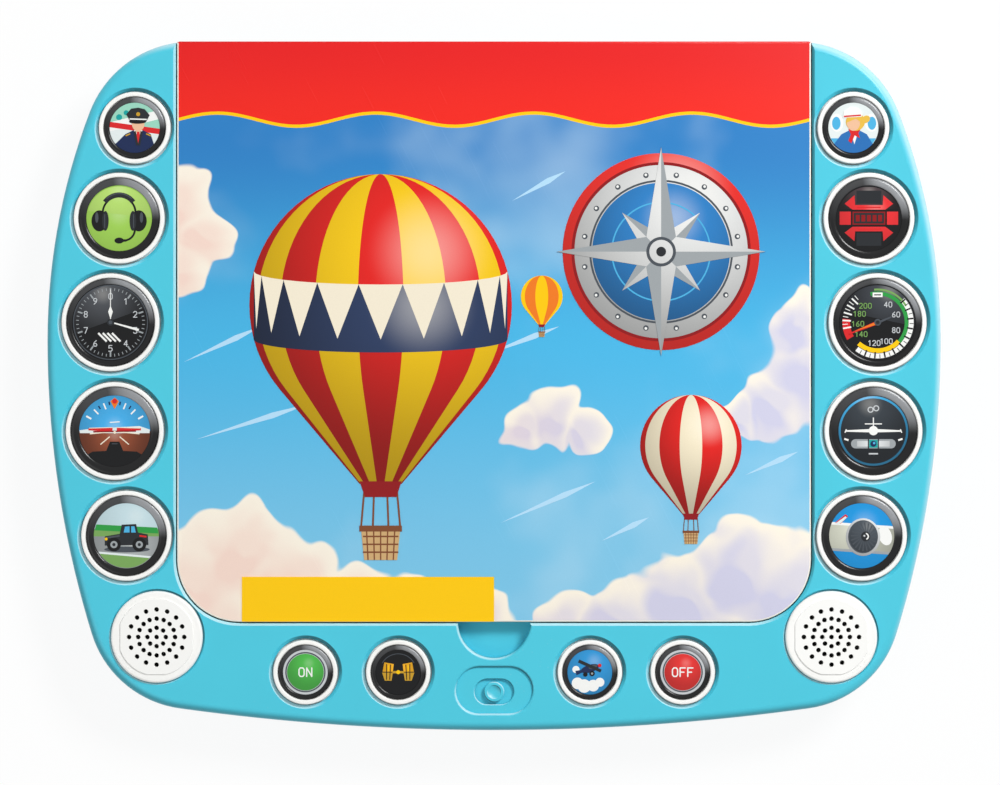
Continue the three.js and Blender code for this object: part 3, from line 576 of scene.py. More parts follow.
def dishedCut(outlineAt, floorZ, edge, faceZ, soften=0.16):
    # a cutter with a slanted mouth, eased where it meets the wall and the face
    steps = [(0.0, floorZ), (0.0, faceZ - edge - soften), (soften * 0.25, faceZ - edge - soften * 0.35)]
    steps += [(edge * share, faceZ - edge * (1 - share)) for share in (0.1, 0.22, 0.8, 0.92)]
    steps += [(edge + soften * 0.4, faceZ - soften * 0.12), (edge + soften, faceZ), (edge + soften, faceZ + 2.0)]
    return makeObject("cut", ringStack([(outlineAt(grow), z) for grow, z in steps]))


def plainCut(points, low, high):
    return makeObject("cut", ringStack([(points, low), (points, high)]))


def roundCut(x, y, radius, low, high, count=24):
    return plainCut(circlePoints(x, y, radius, count), low, high)


switch = {"y": -102.1, "length": 25.5, "width": 15.4, "depth": 1.1, "slotLength": 13.1, "slotWidth": 8.4,
          "slotEdge": 0.5, "drop": 0.5, "knob": 3.45, "knobTop": 27.5, "knobEdge": 0.5, "baseLength": 20.0,
          "baseWidth": 10.4, "baseLow": 24.3, "baseGap": 0.3, "stem": 1.5, "stemLow": 19.5, "lap": 0.3, "stemLap": 0.2,
          "dishEdge": 1.1, "dishFloor": 1.5, "dishDepth": 0.35, "dishMiddle": 0.45}
speaker = {"x": 113.0, "y": -84.1, "grille": 15.4, "seatGap": 0.2, "seatDepth": 1.2, "spigot": 12.6,
           "spigotGap": 0.3}
caseScrews = [(113.5, 103.5), (-113.5, 103.5), (86.0, -97.0), (-86.0, -97.0)]
pillar = {"radius": 3.6, "gap": 0.3, "pilot": 1.6, "pilotTop": 18.7}
overcut = 1.0  # how far a cutter reaches past what it cuts


def insideOutline(points, x, y):
    inside = False
    for (ax, ay), (bx, by) in zip(points, points[1:] + points[:1]):
        if (ay > y) != (by > y) and x < (bx - ax) * (y - ay) / (by - ay) + ax:
            inside = not inside
    return inside


def buildFrontShell():
    face, parting = console["face"], console["parting"]
    under = face - console["wall"]
    beyond = console["length"] / 2 + 3.0
    bookLow = book["spineY"] - book["length"]
    rings = [(consoleOutline(0.0), parting)] + roundedRim(consoleOutline, console["frontEdge"], face)
    shell = makeObject("frontShell", ringStack(rings), [finishes["turquoise"], finishes["turquoiseRim"]])
    inside = plainCut(consoleOutline(console["wall"]), parting - overcut, under)
    trayWall = bookOutline(book["clearance"] + book["trayWall"], beyond)
    blocks = [plainCut(trayWall, book["trayTop"] - book["trayFloor"], face),
              roundCut(0, bookLow, book["notchRadius"] + book["notchWall"], face - book["notchDepth"]
                       - book["notchWall"], face, 48)]
    blocks += [roundCut(x, y, pillar["radius"], parting + pillar["gap"], face) for x, y in caseScrews]
    cutBodies(inside, blocks)
    holes = [dishedCut(lambda g, x=x, y=y, r=cap + console["capGap"]: circlePoints(x, y, r + g, 96), under - 0.5,
                       console["holeEdge"], face) for side, row, x, y, cap in buttons]
    seats = []
    seatRadius = speaker["grille"] + speaker["seatGap"]
    for x in (-speaker["x"], speaker["x"]):
        seats += [dishedCut(lambda g, x=x: circlePoints(x, speaker["y"], seatRadius + g, 96),
                            face - speaker["seatDepth"], console["seatEdge"], face),
                  roundCut(x, speaker["y"], speaker["spigot"] + speaker["spigotGap"], under - overcut, face, 64)]
    tray = dishedCut(lambda g: bookOutline(book["clearance"] + g, beyond), book["trayTop"], console["trayEdge"], face)
    notch = flaredCut(lambda g: circlePoints(0, bookLow, book["notchRadius"] + g, 96), face - book["notchDepth"],
                      console["notchEdge"], face)
    recess = flaredCut(lambda g: stadium(switch["y"], switch["length"] + 2 * g, switch["width"] + 2 * g),
                       face - switch["depth"], console["recessEdge"], face)
    slotY = switch["y"] - switch["drop"]
    slot = flaredCut(lambda g: stadium(slotY, switch["slotLength"] + 2 * g, switch["slotWidth"] + 2 * g),
                     under - overcut, switch["slotEdge"], face - switch["depth"])
    pilots = [roundCut(x, y, pillar["pilot"], parting - overcut, pillar["pilotTop"]) for x, y in caseScrews]
    cutBodies(shell, [inside, tray, notch, recess, slot] + holes + seats + pilots)
    border = consoleOutline(console["frontEdge"] + 0.1)
    for polygon in shell.data.polygons:  # the outer edge gets gentler painted edge shade and highlight than the recesses
        if 0.05 < polygon.normal.z < 0.999:
            middle = polygon.center / mm
            polygon.material_index = 0 if insideOutline(border, middle.x, middle.y) else 1
    shadeSmooth(shell, 32)
    evenNormals(shell)
    place(shell, "console", "turquoise_plastic", "front_shell")


buildFrontShell()
print("front shell cut")


rear = {"floor": 2.0, "top": 9.9, "gap": 0.3, "lipLow": 6.0, "lipHigh": 12.0, "footHigh": 8.0, "lip": 1.2,
        "bayX": 31.25, "bayY": 13.5, "bayWall": 1.2, "ceiling": 13.1, "roof": 0.8, "dividerX": 19.05,
        "doorScrewX": 25.75, "doorPilotTop": 10.2, "boss": 3.6, "post": 2.5, "postTop": 13.0, "sinkRadius": 2.9,
        "sinkTop": 2.7, "shank": 1.6, "tongueReach": 3.0, "tongueHalf": 8.0, "tongueSlot": 1.5}
door = {"low": 0.15, "high": 1.8, "tongueHigh": 3.2, "edge": 0.4, "corner": 1.0, "ribs": 6, "ribPitch": 2.1,
        "ribStart": 8.0, "ribHalf": 5.5, "ribWide": 0.5, "ribRound": 0.45, "ribDepth": 0.35,
        "tongueRoot": 2.0, "sinkTop": 1.2}
screws = {"head": 2.6, "headLow": 0.9, "headTop": 2.4, "shank": 1.3, "pitch": 0.8, "reach": 15.0, "drive": 1.6,
          "driveHalf": 0.35, "driveDepth": 0.8, "doorLow": 0.15, "doorTop": 0.9, "doorReach": 8.0}


def boxPoints(x0, y0, x1, y1):
    return [(x0, y0), (x1, y0), (x1, y1), (x0, y1)]


def roundedBox(x0, y0, x1, y1, radius, steps=5):
    points = []
    for x, y, first in ((x1 - radius, y0 + radius, -90), (x1 - radius, y1 - radius, 0),
                        (x0 + radius, y1 - radius, 90), (x0 + radius, y0 + radius, 180)):
        points += arcPoints(x, y, radius, math.radians(first), math.radians(first + 90), steps)
    return points


def frameBody(outer, inner, low, high):
    # a closed wall between two outlines of equally many points
    count = len(outer)
    verts = [(x, y, z) for points, z in ((outer, low), (outer, high), (inner, high), (inner, low)) for x, y in points]
    faces = []
    for a in range(0, 4 * count, count):
        b = (a + count) % (4 * count)
        faces += [(a + i, a + (i + 1) % count, b + (i + 1) % count, b + i) for i in range(count)]
    return verts, faces


def boardPosts():
    spots = []
    for side in ("left", "right"):
        column = [(x, y) for name, row, x, y, radius in buttons if name == side]
        spots += [((a[0] + b[0]) / 2, (a[1] + b[1]) / 2) for a, b in zip(column, column[1:])]
    return spots + [(x, y) for name, row, x, y, radius in buttons if name == "bottom"]


def buildRearCover():
    floor, gap, ceiling, boss = rear["floor"], rear["gap"], rear["ceiling"], rear["boss"]
    bx, by, thick, reach = rear["bayX"], rear["bayY"], rear["bayWall"], rear["tongueHalf"] + rear["gap"]
    rim = [(points, -z) for points, z in reversed(roundedRim(consoleOutline, console["rearEdge"], 0.0))]
    body = makeObject("rearCover", ringStack(rim + [(consoleOutline(0.0), rear["top"])]), [finishes["turquoiseBack"]])
    cutBodies(body, [plainCut(consoleOutline(console["wall"]), floor, rear["top"] + overcut)])
    lipInset = console["wall"] + gap
    lipInner = consoleOutline(lipInset + rear["lip"])
    adds = [makeObject("lip", frameBody(consoleOutline(lipInset), lipInner, rear["lipLow"], rear["lipHigh"])),
            makeObject("foot", frameBody(consoleOutline(console["wall"] - 1.0), lipInner, rear["lipLow"],
                                         rear["footHigh"])),
            plainCut(boxPoints(-bx - thick, -by - thick, bx + thick, by + thick), floor / 2, ceiling + rear["roof"])]
    adds += [roundCut(x, y, rear["post"], floor / 2, rear["postTop"], 32) for x, y in boardPosts()]
    adds += [roundCut(x, y, boss, floor / 2, console["parting"], 32) for x, y in caseScrews]
    joinBodies(body, adds)
    cutBodies(body, [plainCut(boxPoints(-bx, -by, bx, by), -overcut, ceiling),
                     plainCut(boxPoints(-bx - rear["tongueReach"] - gap, -reach, -bx + gap, reach), floor,
                              floor + rear["tongueSlot"])])
    divider = boxPoints(rear["dividerX"], -by - thick / 2, rear["dividerX"] + thick, by + thick / 2)
    joinBodies(body, [plainCut(divider, floor + gap, ceiling + rear["roof"] / 2),
                      roundCut(rear["doorScrewX"], 0, boss, floor + gap, ceiling + rear["roof"] / 2, 32)])
    cuts = [roundCut(x, y, rear["sinkRadius"], -overcut, rear["sinkTop"], 40) for x, y in caseScrews]
    cuts += [roundCut(x, y, rear["shank"], 1.0, console["parting"] + overcut) for x, y in caseScrews]
    cutBodies(body, cuts + [roundCut(rear["doorScrewX"], 0, rear["shank"], 1.0, rear["doorPilotTop"])])
    shadeSmooth(body, 32)
    evenNormals(body)
    place(body, "console", "rear_plastic", "rear_cover")


def buildDoor():
    x0, x1, y1 = -rear["bayX"] + rear["gap"], rear["bayX"] - rear["gap"], rear["bayY"] - rear["gap"]

    def outline(inset):
        return roundedBox(x0 + inset, -y1 + inset, x1 - inset, y1 - inset, door["corner"])

    rings = [(points, door["low"] - z) for points, z in reversed(roundedRim(outline, door["edge"], 0.0, 4))]
    panel = makeObject("batteryDoor", ringStack(rings + [(outline(0.0), door["high"])]), [finishes["turquoiseBack"]])
    half, root = rear["tongueHalf"], x0 + door["tongueRoot"]
    joinBodies(panel, [plainCut(boxPoints(x0, -half, root, half), door["high"] / 2, door["tongueHigh"]),
                       plainCut(boxPoints(-rear["bayX"] - rear["tongueReach"], -half, root, half),
                                rear["floor"] + rear["gap"], door["tongueHigh"])])
    cuts = [roundCut(rear["doorScrewX"], 0, rear["shank"], -overcut, door["high"] + overcut),
            roundCut(rear["doorScrewX"], 0, rear["sinkRadius"], -overcut, door["sinkTop"], 40)]
    for i in range(door["ribs"]):
        x = rear["doorScrewX"] - door["ribStart"] - door["ribPitch"] * i
        groove = roundedBox(x - door["ribWide"], -door["ribHalf"], x + door["ribWide"], door["ribHalf"],
                            door["ribRound"], 3)
        cuts.append(plainCut(groove, -overcut, door["low"] + door["ribDepth"]))
    cutBodies(panel, cuts)
    shadeSmooth(panel, 32)
    place(panel, "console", "rear_plastic", "battery_door")


def buildScrew(name, x, y, low, top, reach, crossed, node):
    radius, shank, pitch = screws["head"], screws["shank"], screws["pitch"]
    profile = [(0.0, low), (radius - 0.25, low), (radius, low + 0.2), (radius, top), (shank, top)]
    for i in range(int(reach / pitch)):
        z = top + 0.6 + pitch * i
        profile += [(shank - 0.3, z - 0.3), (shank, z)]
    profile += [(0.4, top + reach), (0.0, top + reach)]
    piece = makeObject(name, turnedBody(x, y, profile, 32), [finishes["steel"]])
    arm, half = screws["drive"], screws["driveHalf"]
    depth = low + (screws["driveDepth"] if crossed else half)
    arms = [(arm, half), (half, arm)] if crossed else [(arm, half)]
    cutBodies(piece, [plainCut(boxPoints(x - dx, y - dy, x + dx, y + dy), low - overcut, depth) for dx, dy in arms])
    shadeSmooth(piece, 30)
    place(piece, "console", "steel", node)


buildRearCover()
buildDoor()
for i, (x, y) in enumerate(caseScrews):
    buildScrew(f"caseScrew{i + 1}", x, y, screws["headLow"], screws["headTop"], screws["reach"], True,
               f"case_screw_{i + 1}")
buildScrew("doorScrew", rear["doorScrewX"], 0.0, screws["doorLow"], screws["doorTop"], screws["doorReach"], False,
           "battery_door_screw")
print("back closed and screwed")


# Buttons: white caps with a rounded ring, dark rims and picture discs

cap = {"ring": 1.7, "top": 29.4, "pocket": 27.6, "roof": 1.2, "flangeTop": 25.5, "flangeLow": 24.6, "flange": 1.0,
       "skirt": 1.2, "plunger": 3.0, "plungerLow": 20.5, "ringSteps": 14, "round": 0.6, "bulge": 0.6, "ringLap": 0.2,
       "flangeLimit": 107.75}
label = {"base": 27.8, "rimHeight": 1.3, "faceHeight": 0.8, "sidePictures": [8.4, 11.0, 12.8, 11.9, 10.9],
         "bottomPicture": 7.5, "rimSteps": 14}


def pictureRadius(side, row):
    return label["bottomPicture"] if side == "bottom" else label["sidePictures"][row - 1]


def buildCap(side, row, x, y, radius):
    inner = radius - cap["ring"] + cap["ringLap"]
    middle, half = (radius + inner) / 2, (radius - inner) / 2
    under = cap["pocket"] - cap["roof"]
    profile = [(0.0, cap["plungerLow"]), (cap["plunger"], cap["plungerLow"]), (cap["plunger"], under),
               (radius - cap["skirt"], under), (radius - cap["skirt"], cap["flangeLow"]),
               (radius + cap["flange"], cap["flangeLow"]), (radius + cap["flange"], cap["flangeTop"]),
               (radius, cap["flangeTop"])]
    for i in range(cap["ringSteps"] + 1):
        angle = math.pi * i / cap["ringSteps"]
        across = math.copysign(abs(math.cos(angle)) ** cap["bulge"], math.cos(angle))
        profile.append((middle + half * across, cap["top"] - cap["round"] * (1 - math.sin(angle) ** cap["bulge"])))
    verts, faces = turnedBody(x, y, profile + [(inner, cap["pocket"]), (0.0, cap["pocket"])])
    if side != "bottom":  # the flange is cut flat where the tray wall passes it
        verts = [(math.copysign(max(abs(px), cap["flangeLimit"]), px), py, pz) for px, py, pz in verts]
    body = f"{side}_button_{row}"
    place(makeObject(f"{side}Cap{row}", (verts, faces), [finishes["white"]], 40), body, "white_plastic", body)


def buildRim(side, row, x, y, radius):
    outer, inner = radius - cap["ring"], pictureRadius(side, row)
    face, lift = label["base"] + label["faceHeight"], label["rimHeight"] - label["faceHeight"]
    profile = [(0.0, label["base"]), (outer, label["base"]), (outer, face)]
    profile += [((outer + inner) / 2 + (outer - inner) / 2 * math.cos(angle), face + lift * math.sin(angle))
                for angle in [math.pi * i / label["rimSteps"] for i in range(label["rimSteps"] + 1)]]
    piece = makeObject(f"{side}Rim{row}", turnedBody(x, y, profile + [(0.0, face)]), [finishes["bezel"]], 40)
    place(piece, f"{side}_button_{row}", "label_print", f"{side}_label_{row}")


for side, row, x, y, radius in buttons:
    buildCap(side, row, x, y, radius)
    buildRim(side, row, x, y, radius)
print("buttons turned")


# Print: flat closed shapes that stand a hair above the surface they lie on

printing = {"layer": 0.03, "step": 0.0006, "sunk": 0.05}  # each shape lies a step above the one before it
inkColours = {"white": "#F4F5F2", "black": "#101113", "coal": "#26292D", "slate": "#4A5057", "grey": "#9DA3A6",
              "silver": "#C9CDD0", "pale": "#E3ECEB", "mint": "#9AD6C0", "red": "#D8282A", "darkRed": "#8E1519",
              "orange": "#EE7B22", "yellow": "#FDC908", "gold": "#C79A2B", "green": "#2F9A45", "leaf": "#79A65B",
              "teal": "#16A3A0", "sky": "#4FB2E0", "blue": "#2B6FB4", "navy": "#1A2A52", "brown": "#7E4A2D",
              "sand": "#CDA874", "skin": "#EDBE9A", "hair": "#E7BC4B", "cream": "#F3E9D2", "streak": "#B4DDF6"}
inks = {name: printedInk(name + "Ink", code) for name, code in inkColours.items()}


def discSlice(low=-1, high=1, radius=1.0, tilt=0.0):
    # the part of a disc between two heights
    first = math.asin(max(-1.0, low / radius))
    last = math.asin(min(1.0, high / radius))
    right = arcPoints(0, 0, radius, first, last, 28)
    points = right + [(-x, y) for x, y in reversed(right) if x > 1e-5]
    c, s = math.cos(math.radians(tilt)), math.sin(math.radians(tilt))
    return [(x * c - y * s, x * s + y * c) for x, y in points]


strokes = {
    "0": [(0, .2), (0, .8), (.15, 1), (.45, 1), (.6, .8), (.6, .2), (.45, 0), (.15, 0), (0, .2)],
    "1": [(.1, .78), (.35, 1), (.35, 0)],
    "2": [(0, .8), (.15, 1), (.45, 1), (.6, .8), (.58, .6), (0, 0), (.6, 0)],
    "3": [(0, 1), (.58, 1), (.3, .6), (.6, .4), (.6, .15), (.45, 0), (.15, 0), (0, .15)],
    "4": [(.45, 0), (.45, 1), (0, .3), (.6, .3)],
    "5": [(.55, 1), (.05, 1), (0, .55), (.42, .6), (.6, .4), (.6, .18), (.42, 0), (0, 0)],
    "6": [(.5, 1), (.12, .65), (0, .25), (.15, 0), (.45, 0), (.6, .22), (.45, .5), (.1, .45)],
    "7": [(0, 1), (.6, 1), (.2, 0)],
    "8": [(.15, .55), (.02, .78), (.15, 1), (.45, 1), (.58, .78), (.45, .55), (.15, .55), (0, .28), (.15, 0),
          (.45, 0), (.6, .28), (.45, .55)],
    "9": [(.1, 0), (.48, .35), (.6, .75), (.45, 1), (.15, 1), (0, .78), (.15, .5), (.5, .55)],
    "N": [(0, 0), (0, 1), (.6, 0), (.6, 1)],
    "F": [(0, 0), (0, 1), (.6, 1), (0, 1), (0, .5), (.45, .5)],
}
strokes["O"] = strokes["0"]


class Sheet:
    # the shapes stamped on one surface, in the ink and on the level that each call names

    def __init__(self, name, base, x=0.0, y=0.0, scale=1.0):
        self.name, self.base, self.x, self.y, self.scale = name, base, x, y, scale
        self.verts, self.faces, self.picks, self.inks, self.count = [], [], [], [], 0

    def stamp(self, ink, level, points):
        placed = [(self.x + px * self.scale, self.y + py * self.scale) for px, py in points]
        if sum(a[0] * b[1] - b[0] * a[1] for a, b in zip(placed, placed[1:] + placed[:1])) < 0:
            placed.reverse()
        self.count += 1
        high = self.base + printing["layer"] * level + printing["step"] * self.count
        verts, faces = ringStack([(placed, self.base - printing["sunk"]), (placed, high)])
        ink = inks[ink] if isinstance(ink, str) else ink
        if ink not in self.inks:
            self.inks.append(ink)
        self.faces += [tuple(len(self.verts) + i for i in face) for face in faces]
        self.verts += verts
        self.picks += [self.inks.index(ink)] * len(faces)

    def dot(self, ink, level, x, y, radius, count=40):
        self.stamp(ink, level, circlePoints(x, y, radius, count))

    def oval(self, ink, level, x, y, wide, high, tilt=0.0):
        c, s = math.cos(tilt), math.sin(tilt)
        self.stamp(ink, level, [(x + px * wide * c - py * high * s, y + px * wide * s + py * high * c)
                                for px, py in circlePoints(0, 0, 1.0, 32)])

    def bar(self, ink, level, a, b, width, endWidth=None):
        length = math.hypot(b[0] - a[0], b[1] - a[1])
        sx, sy = (b[1] - a[1]) / length / 2, -(b[0] - a[0]) / length / 2
        far = width if endWidth is None else endWidth
        self.stamp(ink, level, [(a[0] - sx * width, a[1] - sy * width), (a[0] + sx * width, a[1] + sy * width),
                                (b[0] + sx * far, b[1] + sy * far), (b[0] - sx * far, b[1] - sy * far)])

    def arc(self, ink, level, x, y, radius, width, first, last, steps=24):
        first, last = math.radians(first), math.radians(last)
        self.stamp(ink, level, arcPoints(x, y, radius + width / 2, first, last, steps)
                   + arcPoints(x, y, radius - width / 2, last, first, steps))

    def ring(self, ink, level, x, y, radius, width):
        self.arc(ink, level, x, y, radius, width, -90, 90, 32)
        self.arc(ink, level, x, y, radius, width, 90, 270, 32)

    def box(self, ink, level, x0, y0, x1, y1):
        self.stamp(ink, level, boxPoints(x0, y0, x1, y1))

    def text(self, ink, level, text, x, y, height, weight=0.16):
        pitch = 0.9 * height
        left = x - (pitch * (len(text) - 1) + 0.6 * height) / 2
        for i, sign in enumerate(text):
            spots = [(left + pitch * i + px * height, y + (py - 0.5) * height) for px, py in strokes[sign]]
            for k, (a, b) in enumerate(zip(spots, spots[1:])):
                self.bar(ink, level + 0.06 * k, a, b, weight * height)
            for k, (spotX, spotY) in enumerate(spots):
                self.dot(ink, level + 0.8 + 0.06 * k, spotX, spotY, weight * height / 2, 8)

    def finish(self, body, slotName):
        piece = makeObject(self.name, (self.verts, self.faces), self.inks, 30)
        piece.data.polygons.foreach_set("material_index", self.picks)
        place(piece, body, slotName)


# Pictures on the buttons, drawn in a disc of radius 1

def drawSuit(sheet, cloth, x=0.0):
    sheet.stamp(cloth, 3, [(x - 0.52, -0.26), (x - 0.2, -0.1), (x + 0.2, -0.1), (x + 0.5, -0.26)]
                + arcPoints(0, 0, 1.0, math.radians(-40), math.radians(-140), 20))
    sheet.stamp("white", 4, [(x - 0.17, -0.1), (x + 0.17, -0.1), (x, -0.66)])
    sheet.box("skin", 5, x - 0.09, -0.2, x + 0.09, 0.02)


def drawPilot(sheet, tint):
    x = 0.14
    sheet.stamp("mint", 1, discSlice())
    sheet.stamp("white", 2, discSlice(0.1, 0.45, tilt=14))
    sheet.stamp("red", 2, discSlice(-0.12, 0.1, tilt=-8))
    sheet.stamp("pale", 1.5, discSlice(-1, -0.12, tilt=-8))
    sheet.dot("teal", 2.5, -0.62, 0.42, 0.12, 20)
    sheet.dot("teal", 2.5, -0.34, 0.6, 0.1, 20)
    drawSuit(sheet, "navy", x)
    sheet.stamp("red", 6, [(x - 0.05, -0.16), (x + 0.05, -0.16), (x + 0.09, -0.5), (x, -0.66), (x - 0.09, -0.5)])
    for side in (-1, 1):
        sheet.bar("coal", 6, (x + side * 0.14, -0.14), (x + side * 0.03, -0.7), 0.09)
        sheet.bar("gold", 6, (x + side * 0.32, -0.24), (x + side * 0.5, -0.32), 0.05)
    sheet.oval("skin", 6, x, 0.15, 0.25, 0.29)
    sheet.stamp("coal", 7, [(x - 0.33, 0.28), (x + 0.33, 0.26), (x + 0.46, 0.5), (x + 0.26, 0.74), (x, 0.8),
                            (x - 0.28, 0.76), (x - 0.47, 0.54)])
    sheet.oval("black", 8, x - 0.02, 0.25, 0.34, 0.09)
    sheet.bar("white", 9, (x - 0.34, 0.35), (x + 0.34, 0.33), 0.05)
    sheet.dot("gold", 9, x, 0.54, 0.08, 16)


def drawSteward(sheet, tint):
    sheet.stamp("pale", 1, discSlice())
    sheet.oval("white", 1.5, -0.66, 0.2, 0.26, 0.36)
    sheet.oval("sky", 2, -0.68, 0.18, 0.17, 0.26)
    sheet.oval("white", 1.5, 0.72, 0.2, 0.26, 0.36)
    sheet.oval("sky", 2, 0.74, 0.18, 0.17, 0.26)
    sheet.stamp("sky", 2, discSlice(-1, -0.42, 0.99))
    drawSuit(sheet, "blue", 0.04)
    sheet.stamp("red", 6, [(-0.2, -0.06), (0.28, -0.06), (0.2, -0.22), (0.26, -0.42), (0.05, -0.3), (-0.08, -0.62),
                           (-0.2, -0.52), (-0.1, -0.26)])
    sheet.oval("hair", 6, 0.08, 0.24, 0.38, 0.36)
    sheet.oval("hair", 6.5, 0.5, 0.34, 0.17, 0.14, 0.6)
    sheet.oval("skin", 7, 0.0, 0.18, 0.26, 0.3)
    sheet.stamp("hair", 8, [(-0.28, 0.2), (-0.24, 0.42), (0.24, 0.42), (0.3, 0.22), (0.1, 0.36)])
    sheet.stamp("white", 9, [(-0.42, 0.4), (0.32, 0.44), (0.36, 0.6), (0.2, 0.8), (-0.12, 0.84), (-0.38, 0.66)])
    sheet.bar("red", 10, (-0.38, 0.45), (0.3, 0.5), 0.06)


def drawHeadset(sheet, tint):
    sheet.stamp(tint("leafGlow", "#9CCB55", 0.0, 0.15, 1.7, 0.78, 1.1), 1, discSlice())
    sheet.stamp(tint("leafSheen", "#B3D96E", 0.0, 0.8, 1.4, 0.8, 1.1), 1.5, discSlice(0.12, 0.97, 0.97, -6))
    sheet.arc("black", 3, 0, 0.16, 0.5, 0.06, 0, 180, 32)
    sheet.arc("coal", 4, 0, 0.18, 0.53, 0.15, 36, 144, 24)
    sheet.arc("slate", 5, 0, 0.2, 0.55, 0.03, 46, 134, 20)
    for side in (-1, 1):
        sheet.bar("black", 3, (side * 0.5, 0.18), (side * 0.46, -0.2), 0.06)
        sheet.oval("black", 4, side * 0.6, -0.08, 0.24, 0.32)
        sheet.oval("coal", 5, side * 0.42, -0.08, 0.1, 0.3)
        sheet.oval("slate", 6, side * 0.68, 0.02, 0.05, 0.16)
        sheet.bar("slate", 6, (side * 0.44, 0.12), (side * 0.44, -0.3), 0.025)
    sheet.arc("black", 3, 0.14, -0.34, 0.34, 0.06, -88, 0, 16)
    sheet.bar("black", 3.5, (0.22, -0.68), (0.02, -0.68), 0.06, 0.1)
    sheet.oval("black", 4, 0.0, -0.68, 0.14, 0.09)


def drawTicks(sheet, ink, level, count, outer, short, long, every, first=90, sweep=360):
    for i in range(count):
        angle = math.radians(first - sweep * i / count)
        inner = outer - (long if i % every == 0 else short)
        width = 0.04 if i % every == 0 else 0.018
        c, s = math.cos(angle), math.sin(angle)
        sheet.bar(ink, level, (c * inner, s * inner), (c * outer, s * outer), width)


def drawAltimeter(sheet, tint):
    sheet.stamp("black", 1, discSlice())
    sheet.stamp(tint("dialSheen", "#4A4D52", -0.2, 0.75, 1.2, 0.2, 1.2), 2, discSlice(0.04, 0.95, 0.96, 20))
    sheet.ring("slate", 2.5, 0, 0, 0.97, 0.025)
    drawTicks(sheet, "grey", 3, 50, 0.9, 0.07, 0.13, 5)
    for number in range(10):
        angle = math.radians(90 - 36 * number)
        sheet.text("silver", 3, str(number), 0.68 * math.cos(angle), 0.68 * math.sin(angle), 0.15, 0.15)
    for i in range(4):
        x = -0.2 + 0.12 * i
        sheet.bar("white", 3, (x - 0.12, -0.28), (x + 0.1, -0.5), 0.05)
    sheet.bar("white", 5, (0, -0.05), (0, 0.86), 0.03, 0.015)
    sheet.stamp("white", 6, [(0, 0.44), (-0.06, 0.28), (0, 0.08), (0.06, 0.28)])
    sheet.bar("white", 6, (0.1, -0.02), (0.74, -0.2), 0.035, 0.06)
    sheet.dot("coal", 7, 0, 0, 0.09, 20)
    sheet.dot("slate", 8, 0, 0, 0.05, 16)


def drawHorizon(sheet, tint):
    sheet.stamp(tint("highSky", "#43A5DC", 0.0, 0.15, 1.2, 0.75, 1.2), 1, discSlice(0.0, 1))
    sheet.stamp(tint("earth", "#8F4A30", 0.0, -0.1, 1.0, 0.45, 1.2), 1, discSlice(-1, 0.0))
    sheet.stamp("black", 2, [(-0.62, -0.58), (-0.24, -0.56), (-0.13, -0.3), (0.13, -0.3), (0.24, -0.56),
                             (0.62, -0.58)] + arcPoints(0, 0, 1.0, math.radians(-41), math.radians(-139), 20))
    sheet.stamp("pale", 1.5, [(-0.99, 0.02), (-0.7, 0.06), (0.7, 0.14), (0.99, 0.04), (0.98, -0.06), (-0.98, -0.06)])
    for i in range(-4, 5):
        angle = math.radians(90 - 11 * i)
        inner = 0.66 if i % 2 == 0 else 0.74
        c, s = math.cos(angle), math.sin(angle)
        sheet.bar("navy" if i % 2 else "white", 2, (c * inner, s * inner), (c * 0.84, s * 0.84), 0.04)
    for side in (-1, 1):
        sheet.bar("white", 2, (side * 0.66, 0.34), (side * 0.8, 0.42), 0.05)
        sheet.bar("cream", 3, (side * 0.14, -0.16), (side * 0.4, -0.38), 0.03)
        sheet.bar("cream", 4, (side * 0.1, -0.02), (side * 0.7, -0.08), 0.03)
        sheet.bar("red", 3, (side * 0.06, 0.04), (side * 0.74, 0.05), 0.12, 0.06)
        sheet.bar("cream", 5, (side * 0.06, 0.1), (side * 0.72, 0.08), 0.02)
    sheet.bar("darkRed", 4, (-0.6, -0.02), (0.6, 0.0), 0.04)
    sheet.bar("white", 4, (-0.14, 0.24), (0.14, 0.26), 0.03)
    sheet.stamp("orange", 4, [(0, 0.62), (-0.12, 0.84), (0, 0.94), (0.12, 0.84)])
    sheet.dot("red", 5, 0, 0.84, 0.07, 16)
    sheet.dot("cream", 6, 0, -0.04, 0.04, 16)
    sheet.bar("slate", 3, (-0.08, -0.36), (0.08, -0.36), 0.02)


